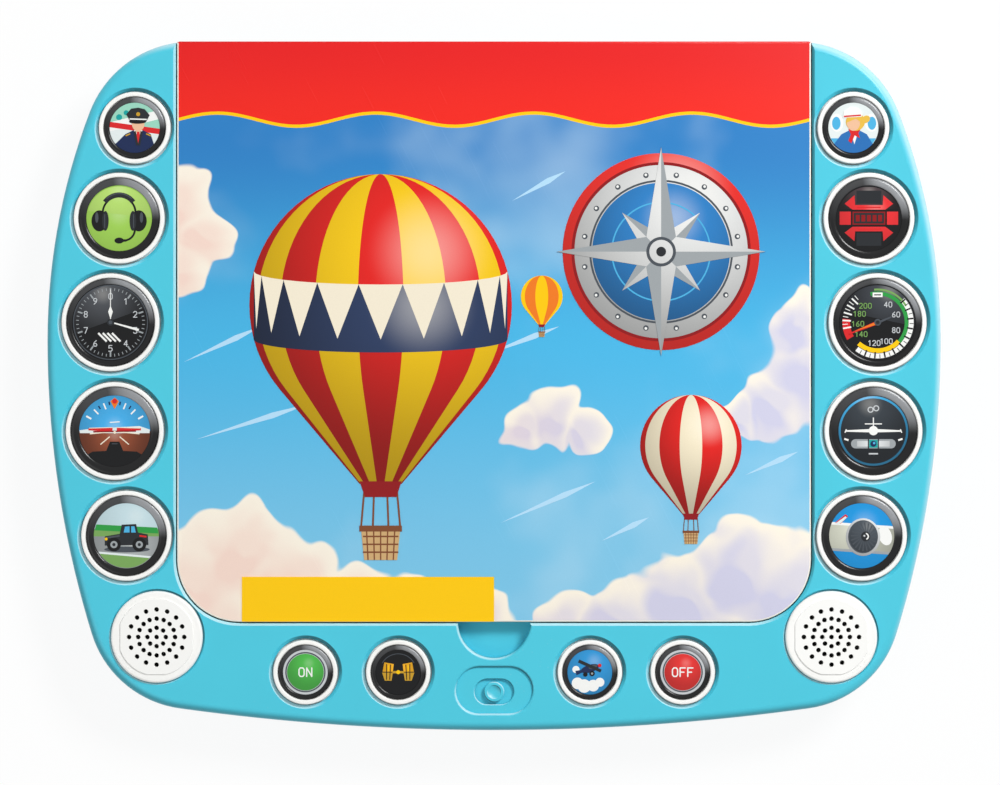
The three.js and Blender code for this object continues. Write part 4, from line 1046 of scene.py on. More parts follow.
def drawTruck(sheet, tint):
    sheet.stamp(tint("haze", "#C4DCE2", 0.3, 0.6, 1.4, 0.85, 1.05), 1, discSlice(0.2, 1))
    sheet.stamp("leaf", 1, discSlice(-0.02, 0.2))
    sheet.stamp(tint("runway", "#A4A9AA", 0.2, -0.3, 1.2, 0.7, 1.15), 1, discSlice(-1, -0.02))
    sheet.stamp("leaf", 2, discSlice(-0.98, -0.62, 0.985, -5))
    sheet.stamp("pale", 3, discSlice(-0.62, -0.56, 0.985, -5))
    sheet.stamp("green", 2, discSlice(0.12, 0.3, 0.985, -3))
    sheet.oval("slate", 3, 0.02, -0.42, 0.7, 0.09)
    sheet.stamp("coal", 4, [(-0.66, -0.3), (-0.66, -0.02), (-0.2, 0.06), (-0.14, 0.34), (0.3, 0.36), (0.36, 0.1),
                            (0.66, 0.04), (0.68, -0.28)])
    sheet.stamp("sky", 5, [(-0.08, 0.1), (-0.04, 0.28), (0.1, 0.29), (0.1, 0.1)])
    sheet.stamp("sky", 5, [(0.15, 0.1), (0.15, 0.29), (0.25, 0.29), (0.29, 0.1)])
    sheet.bar("slate", 5, (-0.6, -0.06), (-0.2, 0.0), 0.05)
    sheet.bar("red", 5, (0.4, 0.0), (0.62, -0.03), 0.05)
    sheet.dot("yellow", 5, -0.62, -0.1, 0.045, 12)
    for x in (-0.38, 0.4):
        sheet.dot("black", 6, x, -0.27, 0.21)
        sheet.dot("grey", 7, x, -0.27, 0.11, 24)
        sheet.dot("coal", 8, x, -0.27, 0.05, 16)


def drawWarning(sheet, tint):
    sheet.stamp("black", 1, discSlice())
    lamp = tint("warningGlow", "#E03034", 0.2, 0.3, 1.5, 0.75, 1.15)
    sheet.stamp(tint("warningSheen", "#4A3F42", 0.0, 0.8, 1.0, 0.15, 1.2), 1.5, discSlice(0.28, 0.95, 0.96))
    for flip in (-1, 1):
        shape = [(-0.74, 0.44), (-0.44, 0.7), (-0.42, 0.4), (0.42, 0.4), (0.44, 0.7), (0.74, 0.44), (0.5, 0.26),
                 (-0.5, 0.26)]
        sheet.stamp(lamp, 3, [(x, y * flip) for x, y in shape])
        sheet.box("coal", 2, -0.38, min(0.44 * flip, 0.84 * flip), 0.38, max(0.44 * flip, 0.84 * flip))
        sheet.box(lamp, 3, 0.72 * flip - 0.17, -0.2, 0.72 * flip + 0.17, 0.2)
        sheet.bar("red", 4, (-0.36, 0.33 * flip), (0.36, 0.33 * flip), 0.04)
    sheet.box("darkRed", 3, -0.5, -0.2, 0.5, 0.2)
    sheet.box("coal", 4, -0.46, -0.16, 0.46, 0.16)
    for i in range(5):
        sheet.box("darkRed", 5, -0.4 + 0.17 * i, -0.1, -0.28 + 0.17 * i, 0.1)


def drawSpeedDial(sheet, tint):
    sheet.stamp("black", 1, discSlice())
    sheet.stamp(tint("speedSheen", "#3C4046", 0.3, 0.8, 1.3, 0.2, 1.3), 1.5, discSlice(0.1, 0.97, 0.97, -12))
    sheet.arc("white", 2, 0, 0, 0.88, 0.13, -128, 42, 48)
    sheet.arc("green", 3, 0, 0, 0.76, 0.1, -42, 104, 48)
    sheet.arc("leaf", 3.5, 0, 0, 0.86, 0.05, 30, 96, 24)
    sheet.arc("yellow", 3, 0, 0, 0.74, 0.12, -132, -42, 32)
    sheet.arc("red", 3, 0, 0, 0.82, 0.2, -186, -150, 16)
    drawTicks(sheet, "black", 4, 20, 0.94, 0.1, 0.16, 2, 40, 168)
    drawTicks(sheet, "white", 4, 10, 0.92, 0.14, 0.22, 2, 190, 66)
    for number, degrees in ((40, 58), (60, 22), (80, -22), (100, -64), (120, -100), (140, -146), (160, -176),
                            (180, 156), (200, 128)):
        angle = math.radians(degrees)
        ink = "silver" if number < 140 else "leaf"
        sheet.text(ink, 4, str(number), 0.52 * math.cos(angle), 0.55 * math.sin(angle), 0.13, 0.16)
    sheet.box("white", 4, -0.13, 0.66, 0.13, 0.78)
    sheet.bar("coal", 5, (-0.09, 0.72), (0.09, 0.72), 0.03)
    sheet.bar("slate", 6, (0.02, 0.0), (0.36, 0.14), 0.06, 0.04)
    sheet.bar("red", 6, (0.06, 0.02), (-0.74, -0.3), 0.1, 0.03)
    sheet.stamp("orange", 7, [(0.0, 0.03), (-0.64, -0.24), (-0.04, -0.06)])
    sheet.dot("slate", 8, 0, 0, 0.09, 24)
    sheet.dot("coal", 9, 0, 0, 0.05, 20)


def drawTurnDial(sheet, tint):
    sheet.stamp(tint("turnFace", "#30363C", -0.1, 0.75, 1.5, 0.4, 1.5), 1, discSlice())
    sheet.ring(tint("turnEdge", "#3D9FD0", -0.2, 0.95, 1.8, 0.4, 1.3), 2, 0, 0, 0.95, 0.06)
    sheet.ring("silver", 3, -0.08, 0.6, 0.07, 0.03)
    sheet.ring("silver", 3, 0.08, 0.64, 0.07, 0.03)
    for side in (-1, 1):
        sheet.stamp("white", 3, [(0, 0.06), (side * 0.78, 0.02), (side * 0.78, -0.02), (0, -0.04)])
        sheet.bar("white", 3, (side * 0.76, 0.05), (side * 0.8, -0.05), 0.03)
        sheet.bar("white", 3, (side * 0.7, -0.26), (side * 0.82, -0.22), 0.05)
        sheet.bar("white", 3.5, (0, 0.2), (side * 0.24, 0.2), 0.03)
        sheet.dot("grey", 3, side * 0.5, -0.36, 0.13, 24)
    sheet.bar("white", 4, (0, 0.0), (0, 0.38), 0.03)
    sheet.dot("white", 5, 0, 0.01, 0.13, 28)
    sheet.box("grey", 3.5, -0.5, -0.49, 0.5, -0.23)
    sheet.box(tint("tubeGlass", "#D8DCDD", 0.0, -0.3, 0.8, 0.55, 1.1), 4, -0.46, -0.44, 0.46, -0.28)
    sheet.box("teal", 5, -0.12, -0.47, 0.12, -0.25)
    sheet.dot("navy", 6, 0, -0.36, 0.085, 24)
    sheet.dot("sky", 7, 0.02, -0.34, 0.035, 12)
    for side in (-1, 1):
        sheet.bar("coal", 6, (side * 0.14, -0.23), (side * 0.14, -0.49), 0.03)
    sheet.box("silver", 3, -0.13, -0.66, 0.13, -0.62)


def drawEngine(sheet, tint):
    sheet.stamp(tint("engineSky", "#1C93D8", 0.1, 0.4, 1.8, 0.8, 1.1), 1, discSlice())
    sheet.stamp(tint("nacelle", "#C9CBBB", -0.3, 0.25, 1.5, 0.6, 1.1), 2, discSlice(-0.5, 0.34, 1.0, -4))
    sheet.stamp("white", 2.5, discSlice(0.28, 0.36, 1.0, -4))
    sheet.stamp("grey", 2.5, discSlice(-0.52, -0.44, 1.0, -4))
    sheet.oval("white", 2.7, 0.72, 0.0, 0.2, 0.3, 0.3)
    sheet.stamp("red", 3, [(-0.82, 0.4), (-0.5, 0.66), (-0.42, 0.6), (-0.66, 0.36)])
    sheet.stamp("pale", 3.5, [(-0.84, 0.36), (-0.5, 0.6), (-0.46, 0.56), (-0.7, 0.34)])
    rim = tint("cowling", "#D8DBDC", 0.3, 0.4, 1.3, 0.45, 1.1)
    sheet.oval(rim, 4, 0.04, -0.04, 0.53, 0.58)
    sheet.oval("slate", 5, 0.04, -0.03, 0.46, 0.51)
    sheet.oval(tint("fanShade", "#4B535B", 0.2, 0.3, 0.9, 0.5, 1.2), 6, 0.05, -0.03, 0.43, 0.48)
    for i in range(20):
        angle = 2 * math.pi * i / 20
        c, s = math.cos(angle), math.sin(angle)
        ahead = angle + 0.25
        sheet.bar("slate", 7, (0.1 + c * 0.12, -0.02 + s * 0.12),
                  (0.06 + math.cos(ahead) * 0.4, -0.03 + math.sin(ahead) * 0.44), 0.012, 0.045)
    sheet.oval("coal", 8, 0.12, -0.02, 0.14, 0.15)
    sheet.arc("white", 9, 0.11, -0.02, 0.09, 0.04, -70, 80, 20)
    sheet.dot("silver", 9, 0.08, 0.0, 0.03, 12)


def drawLamp(sheet, glow, word):
    sheet.stamp("silver", 1, discSlice())
    sheet.ring("slate", 2, 0, 0, 0.87, 0.06)
    sheet.dot(glow, 3, 0, 0, 0.82)
    sheet.text("white", 4, word, 0.0, 0.0, 0.38, 0.15)


def drawGreenLamp(sheet, tint):
    drawLamp(sheet, tint("goLamp", "#4CB04A", 0.15, 0.4, 1.2, 0.7, 1.2), "ON")


def drawRedLamp(sheet, tint):
    drawLamp(sheet, tint("stopLamp", "#D93432", 0.15, 0.4, 1.2, 0.7, 1.2), "OFF")


def drawBeacons(sheet, tint):
    sheet.stamp("black", 1, discSlice())
    amber = tint("beaconGlow", "#E8A91E", 0.0, 0.2, 1.1, 0.6, 1.25)
    for side in (-1, 1):
        sheet.stamp(amber, 2, [(side * 0.2, 0.36), (side * 0.62, 0.44), (side * 0.7, 0.02), (side * 0.24, 0.02)])
        sheet.stamp("gold", 2, [(side * 0.24, -0.02), (side * 0.72, -0.02), (side * 0.6, -0.38), (side * 0.3, -0.38)])
        sheet.bar("black", 3, (side * 0.34, 0.34), (side * 0.38, -0.34), 0.04)
        sheet.bar("black", 3, (side * 0.52, 0.36), (side * 0.52, -0.34), 0.04)
        sheet.bar("yellow", 4, (side * 0.44, 0.3), (side * 0.45, 0.06), 0.05)
    sheet.bar("gold", 2, (-0.26, 0.0), (0.26, 0.0), 0.1)
    sheet.dot("yellow", 4, 0, 0, 0.09, 20)
    sheet.arc("slate", 2, 0, 0, 0.82, 0.03, 30, 150)


def drawFlyer(sheet, tint):
    sheet.stamp(tint("flyerSky", "#2F8FCB", 0.2, 0.5, 1.6, 0.75, 1.2), 1, discSlice())
    for x, y, r in ((-0.55, -0.5, 0.26), (-0.25, -0.62, 0.3), (0.15, -0.6, 0.26), (0.45, -0.45, 0.2),
                    (-0.62, 0.12, 0.16)):
        sheet.dot("white", 2, x, y, r, 24)
    sheet.oval("navy", 4, 0.0, 0.16, 0.42, 0.17, 0.3)
    sheet.oval("slate", 5, 0.14, 0.24, 0.2, 0.09, 0.3)
    sheet.bar("coal", 5, (-0.5, 0.5), (0.5, 0.05), 0.14, 0.14)
    sheet.bar("navy", 4, (-0.3, 0.06), (-0.62, -0.04), 0.1, 0.2)
    sheet.dot("black", 6, 0.1, -0.06, 0.12, 20)
    sheet.dot("black", 6, -0.2, -0.1, 0.1, 20)
    sheet.dot("grey", 7, 0.1, -0.06, 0.05, 12)
    sheet.dot("red", 6, 0.44, 0.3, 0.08, 16)


pictures = {("left", 1): drawPilot, ("left", 2): drawHeadset, ("left", 3): drawAltimeter, ("left", 4): drawHorizon,
            ("left", 5): drawTruck, ("right", 1): drawSteward, ("right", 2): drawWarning,
            ("right", 3): drawSpeedDial, ("right", 4): drawTurnDial, ("right", 5): drawEngine,
            ("bottom", 1): drawGreenLamp, ("bottom", 2): drawBeacons, ("bottom", 3): drawFlyer,
            ("bottom", 4): drawRedLamp}
for side, row, x, y, radius in buttons:
    size = pictureRadius(side, row)

    def tint(name, code, spotX, spotY, reach, dark, glow, x=x, y=y, size=size):
        # an airbrushed ink whose bright spot lies at a place of this button's disc
        return airbrushedInk(name, code, (x + spotX * size, y + spotY * size), reach * size, dark, glow, 0.15, 0.15)

    sheet = Sheet(f"{side}Picture{row}", label["base"] + label["faceHeight"], x, y, size)
    pictures[(side, row)](sheet, tint)
    sheet.finish(f"{side}_button_{row}", "label_print")
print("pictures printed")


# Cover: a printed board with sky, clouds and a header, and print shapes on it

cover = {"low": 26.0, "edge": 0.5, "headerY": 89.8, "wave": 2.2, "waveLength": 53.0, "stripe": 1.1,
         "lowSky": (-70, 20), "highSky": (10, 85), "peachToLilac": (-70, 60), "header": (88, 116)}
coverColours = {"skyTop": "#2E7FC3", "skyMiddle": "#49B6E5", "skyLow": "#7CC6E8", "haze": "#CFE9F6",
                "headerLow": "#F0281E", "headerHigh": "#E41F20", "stripe": "#FDC908", "cloudLight": "#FFF5E3",
                "cloudPeach": "#F9DBCB", "cloudLilac": "#D3D0E6"}
cloudPuffs = [(-102, -66, 22), (-88, -80, 17), (74, -84, 16), (38, -86, 13), (-84, -56, 17), (-66, -66, 18),
              (-48, -74, 15), (-24, -76, 13), (-4, -78, 12), (104, -70, 24), (86, -62, 18), (66, -72, 18),
              (44, -78, 14), (24, -80, 11), (106, 4, 17), (94, -6, 12), (103, 22, 11), (82, -10, 7),
              (-106, 62, 13), (-96, 52, 10), (-104, 40, 9), (10, -14, 8), (20, -10, 10), (31, -15, 7)]


def buildCloudBank():
    group, given, result = newGroup("cloudBank", {"Billow": 0.42, "Edge": 0.09}, ["Mask", "Inside"])
    here = coordinates(group)
    wobble = addNode(group, "TexNoise", {"Vector": here, "Scale": 62.0, "Detail": 1.0}).outputs["Color"]
    moved = vectorNode(group, "MULTIPLY_ADD", wobble, (0.012, 0.012, 0.0), here)

    def heightAt(shiftX, shiftY):
        spot = vectorNode(group, "ADD", moved, ((shiftX - 6) * mm, (shiftY - 6) * mm, 0.0))
        flat = vectorNode(group, "MULTIPLY", spot, (1.0, 1.0, 0.0))
        field = None
        for x, y, radius in cloudPuffs:
            away = vectorNode(group, "DISTANCE", flat, (x * mm, y * mm, 0.0))
            value = mathNode(group, "MULTIPLY_ADD", away, -1 / (radius * mm), 1.0)
            field = value if field is None else mathNode(group, "SMOOTH_MAX", field, value, 0.25)
        swell = addNode(group, "TexVoronoi", {"Vector": flat, "Scale": 88.0, "Smoothness": 0.35},
                        feature="SMOOTH_F1").outputs["Distance"]
        billow = mathNode(group, "MULTIPLY_ADD", swell, -1.0, 0.55)
        return mathNode(group, "MULTIPLY_ADD", billow, given["Billow"], field)

    height = heightAt(0.0, 0.0)
    slope = mathNode(group, "SUBTRACT", height, heightAt(2.6, 3.4))  # falls towards the lamp or away from it
    inside = mathNode(group, "ADD", ramp(group, slope, 0.2, -0.26, 0.0, 0.75),
                      ramp(group, height, 0.12, 0.8, 0.0, 0.7), clamp=True)
    setInputs(group, result, {"Mask": ramp(group, height, 0.0, given["Edge"]), "Inside": inside})
    return group


cloudBank = buildCloudBank()


def buildCoverPrint():
    material, tree, shader = newMaterial("coverPrint")

    def blend(along, key, first, last):
        # from one colour to the other between two places of the cover
        low, high = cover[key]
        return mixColour(tree, ramp(tree, along, low * mm, high * mm), first, last)

    colours = {name: linearColour(code) for name, code in coverColours.items()}
    grain = placeGroup(tree, printGrain, Strength=0.05)
    here = coordinates(tree)
    parts = addNode(tree, "SeparateXYZ", {0: here}).outputs
    across, up = parts["X"], parts["Y"]
    sky = blend(up, "highSky", blend(up, "lowSky", colours["skyLow"], colours["skyMiddle"]), colours["skyTop"])
    haze = mixColour(tree, ramp(tree, noise(tree, here, 16.0, 3.0), 0.5, 0.75, 0.0, 0.35), sky, colours["haze"])
    clouds = placeGroup(tree, cloudBank)
    inside = blend(across, "peachToLilac", colours["cloudPeach"], colours["cloudLilac"])
    puffs = mixColour(tree, clouds["Inside"], colours["cloudLight"], inside)
    scenery = mixColour(tree, mathNode(tree, "MULTIPLY", clouds["Mask"], 0.96), haze, puffs)
    wave = mathNode(tree, "SINE", mathNode(tree, "MULTIPLY", across, 2 * math.pi / (cover["waveLength"] * mm)))
    edge = mathNode(tree, "MULTIPLY_ADD", wave, cover["wave"] * mm, cover["headerY"] * mm)
    above = mathNode(tree, "SUBTRACT", up, edge)
    stripe = mathNode(tree, "GREATER_THAN", above, -cover["stripe"] * mm)
    header = blend(up, "header", colours["headerLow"], colours["headerHigh"])
    printed = mixColour(tree, mathNode(tree, "GREATER_THAN", above, 0.0),
                        mixColour(tree, stripe, scenery, colours["stripe"]), header)
    scuffs = placeGroup(tree, scratches, Density=0.5, Angle=1.1)["Mask"]
    setInputs(tree, shader, {"Base Color": scaleColour(tree, printed, grain["Tone"]),
                             "Roughness": mathNode(tree, "MULTIPLY_ADD", scuffs, 0.15, 0.24),
                             "Specular IOR Level": 0.2, "Normal": bumped(tree, grain["Height"], 0.06, 0.03)})
    return material


def roundedBoard(outlineAt, low, high, edge):
    # a board whose upper and lower edges are rounded
    steps = quarterRound(4)
    return ringStack([(outlineAt(-edge * down), low + edge * inward) for inward, down in steps]
                     + [(outlineAt(-edge * inward), high - edge * down) for inward, down in steps])


def boardOutline(grow):
    return bookOutline(grow, book["spineY"] + grow)


def buildEndPaper(pitch=9.0):
    # pale blue paper with rows of small white dots
    material, tree, shader = newMaterial("endPaper")
    flat = vectorNode(tree, "MULTIPLY", coordinates(tree), (1 / (pitch * mm), 1 / (pitch * mm), 0.0))
    away = vectorNode(tree, "DISTANCE", vectorNode(tree, "FRACTION", flat), (0.5, 0.5, 0.0))
    printed = mixColour(tree, ramp(tree, away, 0.17, 0.14), linearColour("#A5D6EC"), linearColour("#EEF6F7"))
    grain = placeGroup(tree, printGrain, Strength=0.05)
    setInputs(tree, shader, {"Base Color": scaleColour(tree, printed, grain["Tone"]), "Roughness": 0.35,
                             "Specular IOR Level": 0.2})
    return material


finishes["endPaper"] = buildEndPaper()
finishes["boardEdge"] = mouldedPlastic("boardEdge", "#F6F1E6", 0.7, 2600.0, 0.06, 0.0)


def buildCover():
    board = makeObject("coverFront", roundedBoard(boardOutline, cover["low"], console["face"], cover["edge"]),
                       [buildCoverPrint(), finishes["endPaper"], finishes["boardEdge"]], 50)
    spineSide = (book["spineY"] - cover["edge"]) * mm
    for face in board.data.polygons:
        if face.normal.z < -0.99:
            face.material_index = 1
        elif face.normal.z <= 0.99 and face.center.y <= spineSide:
            face.material_index = 2
    place(board, "cover", "cover_print", "cover_front")


buildCover()
print("cover printed")


def balloonOutline(radius):
    # half widths and heights of a balloon from its crown to its mouth
    points = arcPoints(0, 0, radius, math.radians(90), math.radians(-40), 26)
    startX, startY = points[-1]
    return points + [(startX + (0.16 * radius - startX) * i / 8, startY + (-1.36 * radius - startY) * i / 8)
                     for i in range(1, 9)]


def drawBalloon(sheet, x, y, radius, cloths, gores, band=None):
    outline = balloonOutline(radius)
    for k in range(gores):
        left, right = [[(x + w * math.sin(math.pi * (edge / gores - 0.5)), y + h) for w, h in outline[1:]]
                       for edge in (k, k + 1)]
        sheet.stamp(cloths[k % len(cloths)], 3 + k % 2, [(x, y + radius)] + left + right[::-1])
    if band:
        rows = [(w, h) for w, h in outline if abs(h) < 0.3 * radius]
        for k in range(gores):
            turns = [math.pi * ((k + step / 4) / gores - 0.5) for step in range(5)]
            upper, lower = [[(x + w * math.sin(t), y + h - 0.1 * radius * math.cos(t)) for t in turns]
                            for w, h in (rows[0], rows[-1])]
            sheet.stamp(band[0], 5, upper + lower[::-1])
            tip = ((lower[1][0] + lower[3][0]) / 2, (lower[2][1] + upper[2][1]) / 2 - 0.16 * radius)
            sheet.stamp(band[1], 6, [upper[0], upper[2], upper[4], tip])
    mouth, top, foot = y - 1.36 * radius, y - 1.7 * radius, y - 1.94 * radius
    half = 0.15 * radius

    def taper(ink, level, upperHalf, upperY, lowerHalf, lowerY):
        sheet.stamp(ink, level, [(x - upperHalf, upperY), (x + upperHalf, upperY), (x + lowerHalf, lowerY),
                                 (x - lowerHalf, lowerY)])

    taper("darkRed", 5, 0.16 * radius, mouth + 0.02 * radius, 0.12 * radius, mouth - 0.1 * radius)
    for side in (-1, -0.4, 0.4, 1):
        sheet.bar("brown", 4, (x + side * 0.12 * radius, mouth), (x + side * half, top), 0.014 * radius)
    taper("sand", 5, half, top, half * 0.84, foot)
    sheet.bar("brown", 7, (x - half * 1.08, top), (x + half * 1.08, top), 0.045 * radius)
    for i in range(1, 4):
        level = top - 0.06 * radius * i
        sheet.bar("brown", 6, (x - half * 0.9, level), (x + half * 0.9, level), 0.012 * radius)
    for i in range(-2, 3):
        sheet.bar("brown", 6, (x + i * half * 0.36, top), (x + i * half * 0.32, foot), 0.01 * radius)


def drawCompass(sheet, x, y, radius, silver, field, rim):
    for ink, level, share in ((rim, 3, 1.0), ("darkRed", 4, 0.91), (silver, 5, 0.88), (field, 6, 0.7)):
        sheet.dot(ink, level, x, y, radius * share, 96)
    sheet.ring("slate", 6, x, y, radius * 0.72, radius * 0.02)
    for i in range(16):
        c, s = math.cos(math.pi * (i + 0.5) / 8), math.sin(math.pi * (i + 0.5) / 8)
        for ink, level, out, size, count in (("slate", 6, 0.79, 0.028, 14), ("white", 7, 0.795, 0.014, 10)):
            sheet.dot(ink, level, x + radius * out * c, y + radius * out * s, radius * size, count)
    sheet.ring("sky", 7, x, y, radius * 0.5, radius * 0.015)
    for start, reach, waist, level in ((math.pi / 4, 0.56, 0.12, 8), (0.0, 1.06, 0.15, 10)):
        for i in range(4):
            angle = start + math.pi * i / 2
            tip = (x + radius * reach * math.cos(angle), y + radius * reach * math.sin(angle))
            for turn, ink in ((angle - math.pi / 4, "grey"), (angle + math.pi / 4, silver)):
                out = radius * waist * math.sqrt(2)
                sheet.stamp(ink, level, [(x, y), (x + out * math.cos(turn), y + out * math.sin(turn)), tip])
    for ink, level, share, count in (("slate", 12, 0.15, 40), (silver, 13, 0.12, 40), ("coal", 14, 0.05, 24)):
        sheet.dot(ink, level, x, y, radius * share, count)


def drawStreak(sheet, a, b, widest=0.68):
    # a wisp that tapers to both ends
    alongX, alongY = b[0] - a[0], b[1] - a[1]
    side = shapes["streakWidth"] / 2 / math.hypot(alongX, alongY)
    x, y = a[0] + alongX * widest, a[1] + alongY * widest
    sheet.stamp("streak", 1, [a, (x + alongY * side, y - alongX * side), b, (x - alongY * side, y + alongX * side)])


shapes = {"big": (-38.0, 27.0, 44.0), "small": (66.0, -20.0, 17.0), "far": (16.0, 30.0, 7.0),
          "compass": (56.0, 45.0, 33.0), "label": (-84.5, -79.0, 0.0, -64.0), "streakWidth": 1.9,
          "streaks": [(-104, 8, -78, 20), (-100, -18, -62, -6), (6, 62, 24, 72), (-4, 10, 22, 20),
                      (36, -52, 52, -44), (84, -30, 102, -22), (2, -46, 34, -32)]}
shapeInks = {"balloonRed": ("#E2231F", (-22, 45), 78, 0.3, 1.15),
             "balloonYellow": ("#F5C817", (-22, 45), 84, 0.45, 1.1),
             "balloonBand": ("#23314F", (-24, 27), 70, 0.35, 1.6),
             "smallRed": ("#E2231F", (72, -13), 30, 0.35, 1.15),
             "smallCream": ("#F3E7C9", (72, -13), 34, 0.5, 1.1),
             "medalSilver": ("#DADBDA", (66, 62), 62, 0.38, 1.15),
             "medalBlue": ("#2C78B8", (60, 56), 44, 0.4, 1.3),
             "medalRed": ("#E5302A", (62, 66), 70, 0.5, 1.1)}


def buildCoverShapes():
    sheet = Sheet("coverShapes", console["face"])
    inks.update({name: airbrushedInk(name, *values) for name, values in shapeInks.items()})
    for x0, y0, x1, y1 in shapes["streaks"]:
        drawStreak(sheet, (x0, y0), (x1, y1))
    drawBalloon(sheet, *shapes["big"], ["balloonRed", "balloonYellow"], 9, ("balloonBand", "cream"))
    drawBalloon(sheet, *shapes["small"], ["smallRed", "smallCream"], 7)
    drawBalloon(sheet, *shapes["far"], ["yellow", "orange"], 5)
    drawCompass(sheet, *shapes["compass"], "medalSilver", "medalBlue", "medalRed")
    sheet.box("yellow", 4, *shapes["label"])
    sheet.finish("cover", "cover_print")


buildCoverShapes()
print("cover shapes printed")


# Speaker grilles and the switch knob

grille = {"seat": 27.0, "top": 29.5, "plate": 1.7, "edge": 0.9, "spigotWall": 0.8, "plateRadius": 13.0,
          "plateFlat": 12.3, "plateLow": 12.6, "plateHeight": 0.5, "plateEdge": 0.35, "hole": 0.79, "holeEdge": 0.15,
          "pitch": 3.08, "rings": [1, 8, 16, 16], "plateLap": 0.3}


def buildGrille(side, x):
    y, top, mouth = speaker["y"], grille["top"], grille["top"] + grille["plateHeight"]
    under, wall = top - grille["plate"], console["face"] - console["wall"]
    inner = speaker["spigot"] - grille["spigotWall"]
    profile = [(0.0, under), (inner, under), (inner, wall), (speaker["spigot"], wall),
               (speaker["spigot"], grille["seat"]), (speaker["grille"], grille["seat"])]
    profile += [(speaker["grille"] - grille["edge"] * inward, top - grille["edge"] * down)
                for inward, down in quarterRound(6)]
    body = makeObject(side + "Grille", turnedBody(x, y, profile + [(0.0, top)], 128), [finishes["white"]])

    def plateOutline(inset):
        ring = circlePoints(0, 0, grille["plateRadius"] - inset, 128)
        flat = grille["plateFlat"] - inset
        return [(x + max(-flat, min(flat, px)), y + max(inset - grille["plateLow"], py)) for px, py in ring]

    rings = [(plateOutline(0.0), top - grille["plateLap"])] + roundedRim(plateOutline, grille["plateEdge"], mouth, 4)
    joinBodies(body, [makeObject(side + "Plate", ringStack(rings), [finishes["white"]])])
    holes = []
    for ring, count in enumerate(grille["rings"]):
        for hx, hy in circlePoints(x, y, ring * grille["pitch"], count):
            holes.append(flaredCut(lambda g, hx=hx, hy=hy: circlePoints(hx, hy, grille["hole"] + g, 24), under - 1.0,
                                   grille["holeEdge"], mouth, 2))
    cutBodies(body, holes)
    shadeSmooth(body, 35)
    evenNormals(body)
    place(body, "console", "white_plastic", f"{side}_speaker_grille")


buildGrille("left", -speaker["x"])
buildGrille("right", speaker["x"])
print("grilles drilled")


def buildKnob():
    y, radius, top, edge = switch["y"] - switch["drop"], switch["knob"], switch["knobTop"], switch["knobEdge"]
    wall = console["face"] - console["wall"] - switch["baseGap"]
    plate = stadium(y, switch["baseLength"], switch["baseWidth"])
    base = makeObject("switchKnob", ringStack([(plate, switch["baseLow"]), (plate, wall)]), [finishes["turquoise"]])
    profile = [(0.0, wall - switch["lap"]), (radius, wall - switch["lap"])]
    profile += [(radius - edge * inward, top - edge * down) for inward, down in quarterRound(5)]
    profile += [(radius - switch["dishEdge"], top), (radius - switch["dishFloor"], top - switch["dishDepth"]),
                (0.0, top - switch["dishMiddle"])]
    stemTop = switch["baseLow"] + switch["stemLap"]
    stem = [(0.0, switch["stemLow"]), (switch["stem"], switch["stemLow"]), (switch["stem"], stemTop), (0.0, stemTop)]
    joinBodies(base, [makeObject("button", turnedBody(0.0, y, profile, 64), [finishes["turquoise"]]),
                      makeObject("stem", turnedBody(0.0, y, stem, 24), [finishes["turquoise"]])])
    shadeSmooth(base, 40)
    place(base, "switch", "turquoise_plastic", "switch_knob")


buildKnob()
print("knob turned")


# Book block: leaves with rounded edges, a back board, a spine and a hinge strip

block = {"low": 18.3, "leaves": 5, "leaf": 1.2, "groove": 0.35, "grooveDepth": 0.5, "inset": 1.0, "topY": 113.1,
         "round": 0.3}
spine = {"low": 16.0, "high": 25.7, "thick": 2.0, "edge": 0.35, "boardEdge": 0.4}
strip = {"y": 115.42, "thick": 0.1, "half": 105.6, "low": 24.4, "high": 27.4, "rows": 18, "turnLow": 25.6,
         "turnHigh": 26.1}
page = {"margin": 9.0, "topMargin": 8.0, "ridgeHalf": 97.2, "sun": (58.0, 62.0, 15.0),
        "clouds": [(-54, 66, 1.0), (4, 48, 0.8), (-18, 84, 0.6)],
        "puffs": [(-11, 0, 6.5), (-2, 4, 9), (8, 1, 7), (0, -2, 7), (15, -1, 4.5)]}
pageInks = {"pageField": "#CFEAF6", "pageNear": "#8CC56A", "pageFar": "#B5DB8E", "pageSun": "#FBD75A"}


def blockOutline(inset):
    return bookOutline(-inset, block["topY"] + block["inset"] - inset)


def buildBlock():
    rings, soft = [], block["round"]
    for i in range(block["leaves"]):
        low = block["low"] + i * (block["leaf"] + block["groove"])
        high = low + block["leaf"]
        for z, extra in ((low, soft * 0.7), (low + soft * 0.5, soft * 0.15), (low + soft, 0.0), (high - soft, 0.0),
                         (high - soft * 0.5, soft * 0.15), (high, soft * 0.7)):
            rings.append((blockOutline(block["inset"] + extra), z))
        if i < block["leaves"] - 1:
            rings.append((blockOutline(block["inset"] + block["grooveDepth"]), high + block["groove"] / 2))
    pages = makeObject("pageBlock", ringStack(rings), [finishes["pageBoard"]], 60)
    place(pages, "console", "page_board", "page_block")
    drawPage(high)
    back = roundedBoard(lambda g: bookOutline(g, block["topY"] + g), spine["low"], spine["low"] + book["board"],
                        spine["boardEdge"])
    place(makeObject("coverBack", back, [finishes["endPaper"]], 50), "console", "cover_print", "cover_back")


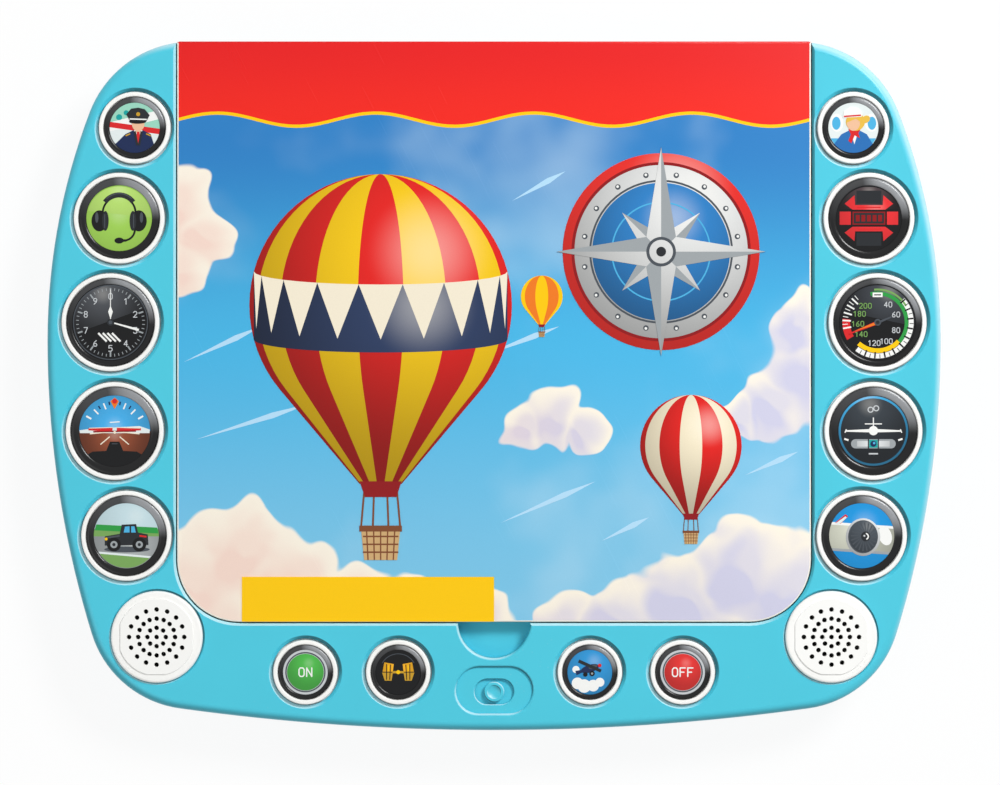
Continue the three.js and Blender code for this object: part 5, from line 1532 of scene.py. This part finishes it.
def drawPage(top):
    # hills under a sun and a few clouds
    sheet = Sheet("pagePrint", top)
    inks.update({name: printedInk(name, code, 0.4) for name, code in pageInks.items()})
    sheet.stamp("pageField", 1, bookOutline(-page["margin"], block["topY"] - page["topMargin"]))
    sheet.dot("pageSun", 1.5, *page["sun"], 64)
    for ink, level, height, swing, start in (("pageFar", 2, -18.0, 9.0, 0.4), ("pageNear", 2.5, -38.0, 7.0, 2.1)):
        ridge = [(page["ridgeHalf"] * (i / 30 - 1), height + swing * math.sin(start + i / 8)) for i in range(61)]
        floor = [(x, y) for x, y in bookOutline(-page["margin"] - 0.05, height - 30.0) if y < height - 20.0]
        sheet.stamp(ink, level, ridge[::-1] + floor[:-2])
    for x, y, size in page["clouds"]:
        for dx, dy, radius in page["puffs"]:
            sheet.dot("white", 1.8, x + dx * size, y + dy * size, radius * size)
    sheet.finish("console", "page_board")


def buildSpine():
    half, back = book["width"] / 2, book["spineY"]
    bar = roundedBoard(lambda g: boxPoints(-half - g, back - spine["thick"] - g, half + g, back + g), spine["low"],
                       spine["high"], spine["edge"])
    place(makeObject("bookSpine", bar, [finishes["spineRed"]], 50), "console", "cover_print", "book_spine")
    near, far = strip["y"], strip["y"] + strip["thick"]
    outline = boxPoints(-strip["half"], near, strip["half"], far)
    heights = [strip["low"] + (strip["high"] - strip["low"]) * i / strip["rows"] for i in range(strip["rows"] + 1)]
    cloth = makeObject("hingeStrip", ringStack([(outline, z) for z in heights]), [finishes["spineRed"]], 60)
    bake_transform(cloth)


finishes["spineRed"] = printedInk("spineRed", "#E0262A", 0.3)
buildBlock()
buildSpine()
print("book block bound")


# Materials of the pieces that the frame keeps

kept = {"circuit": ["main_board", "left_key_board", "right_key_board"],
        "silicone": ["left_keypad", "right_keypad", "bottom_keypad"],
        "blackPlastic": ["left_speaker", "right_speaker", "switch_body"],
        "steel": ["contact_bridge", "contact_plus", "contact_minus"], "jacket": ["battery_1", "battery_2"]}
for finish, nodes in kept.items():
    for node in nodes:
        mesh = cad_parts[node].data
        mesh.materials.clear()
        mesh.materials.append(finishes[finish])
print("kept pieces finished")
